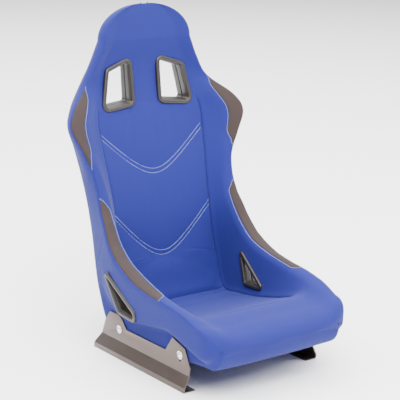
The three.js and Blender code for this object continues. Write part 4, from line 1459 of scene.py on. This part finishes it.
class SEAT_OT_studio(SeatOperator, bpy.types.Operator):
    """Set up the camera, the floor and the light"""
    bl_idname = "seat.studio"
    bl_label = "Studio"

    def execute(self, context):
        studio = context.scene.seat_studio
        self.aim_camera(context.scene, studio)
        self.lay_floor(studio)
        self.hang_sky(context.scene, studio)
        for name, where, towards, size, power, tint in LIGHTS:
            area_light(name, where, towards, size, power * studio.brightness, tint)
        return {"FINISHED"}

    def aim_camera(self, scene, studio):
        data = bpy.data.cameras.new("Camera")
        data.sensor_width = SENSOR
        data.lens = studio.lens
        data.dof.use_dof = False
        camera = new_object("Camera", data)
        yaw, pitch, roll = (math.radians(angle) for angle in CAMERA_TURN)
        back = Vector((math.sin(yaw) * math.cos(pitch), -math.cos(yaw) * math.cos(pitch),
                       math.sin(pitch)))
        right = Vector((math.cos(yaw), math.sin(yaw), 0))
        turned = Matrix([right, back.cross(right), back]).transposed()
        turned = Matrix.Rotation(roll, 3, back) @ turned
        camera.rotation_mode = "QUATERNION"
        camera.rotation_quaternion = turned.to_quaternion()
        camera.location = CAMERA_PLACE
        scene.camera = camera

    def lay_floor(self, studio):
        corners = [(x * FLOOR_HALF, y * FLOOR_HALF, 0)
                   for x, y in ((-1, -1), (1, -1), (1, 1), (-1, 1))]
        floor = new_object("floor", mesh_from("floor", corners, [[0, 1, 2, 3]]))
        material, _, shader, _ = new_material("Floor")
        shader.inputs["Base Color"].default_value = (*studio.floor_colour, 1)
        shader.inputs["Roughness"].default_value = 0.9
        shader.inputs["Specular IOR Level"].default_value = 0.1
        floor.data.materials.append(material)

    def hang_sky(self, scene, studio):
        world = bpy.data.worlds.new("Studio")
        world.use_nodes = True
        sky = Tree(world.node_tree)
        up = sky.node("ShaderNodeSeparateXYZ",
                      {0: sky.node("ShaderNodeTexCoord").outputs["Generated"]}).outputs[2]
        backdrop = world.node_tree.nodes["Background"]
        sky.feed(sky.mix(sky.ramp(up, 0.0, 0.8), (1, 1, 1, 1), (0.5, 0.5, 0.5, 1)),
                 backdrop.inputs[0])
        backdrop.inputs[1].default_value = SKY_STRENGTH * studio.brightness
        scene.world = world


# ------------------------------------------------------------------ panel and registration
OPERATORS = (SEAT_OT_studio, SEAT_OT_main_cover, SEAT_OT_centre_pads, SEAT_OT_wear_panels,
             SEAT_OT_side_covers, SEAT_OT_rear_covers, SEAT_OT_stitching, SEAT_OT_bezels,
             SEAT_OT_side_mounts, SEAT_OT_fasteners, SEAT_OT_inner_frame)
SETTINGS = {"seat_cloth": SeatCloth, "seat_trim": SeatTrim, "seat_steel": SeatSteel,
            "seat_studio": SeatStudio}


class SEAT_PT_panel(bpy.types.Panel):
    """The seat's steps and settings"""
    bl_label = "Racing Seat"
    bl_space_type = "VIEW_3D"
    bl_region_type = "UI"
    bl_category = "Seat"

    def draw(self, context):
        for key in SETTINGS:
            settings = getattr(context.scene, key)
            box = self.layout.box()
            for name in settings.__annotations__:
                box.prop(settings, name)
        for operator in OPERATORS:
            self.layout.operator(operator.bl_idname)


CLASSES = (*SETTINGS.values(), *OPERATORS, SEAT_PT_panel)


def register():
    for item in CLASSES:
        bpy.utils.register_class(item)
    for key, settings in SETTINGS.items():
        setattr(bpy.types.Scene, key, bpy.props.PointerProperty(type=settings))


def unregister():
    for key in SETTINGS:
        delattr(bpy.types.Scene, key)
    for item in reversed(CLASSES):
        bpy.utils.unregister_class(item)


def main():
    register()
    for operator in OPERATORS:
        name = operator.bl_idname.split(".")[1]
        getattr(bpy.ops.seat, name)()


if __name__ == "__main__":
    main()
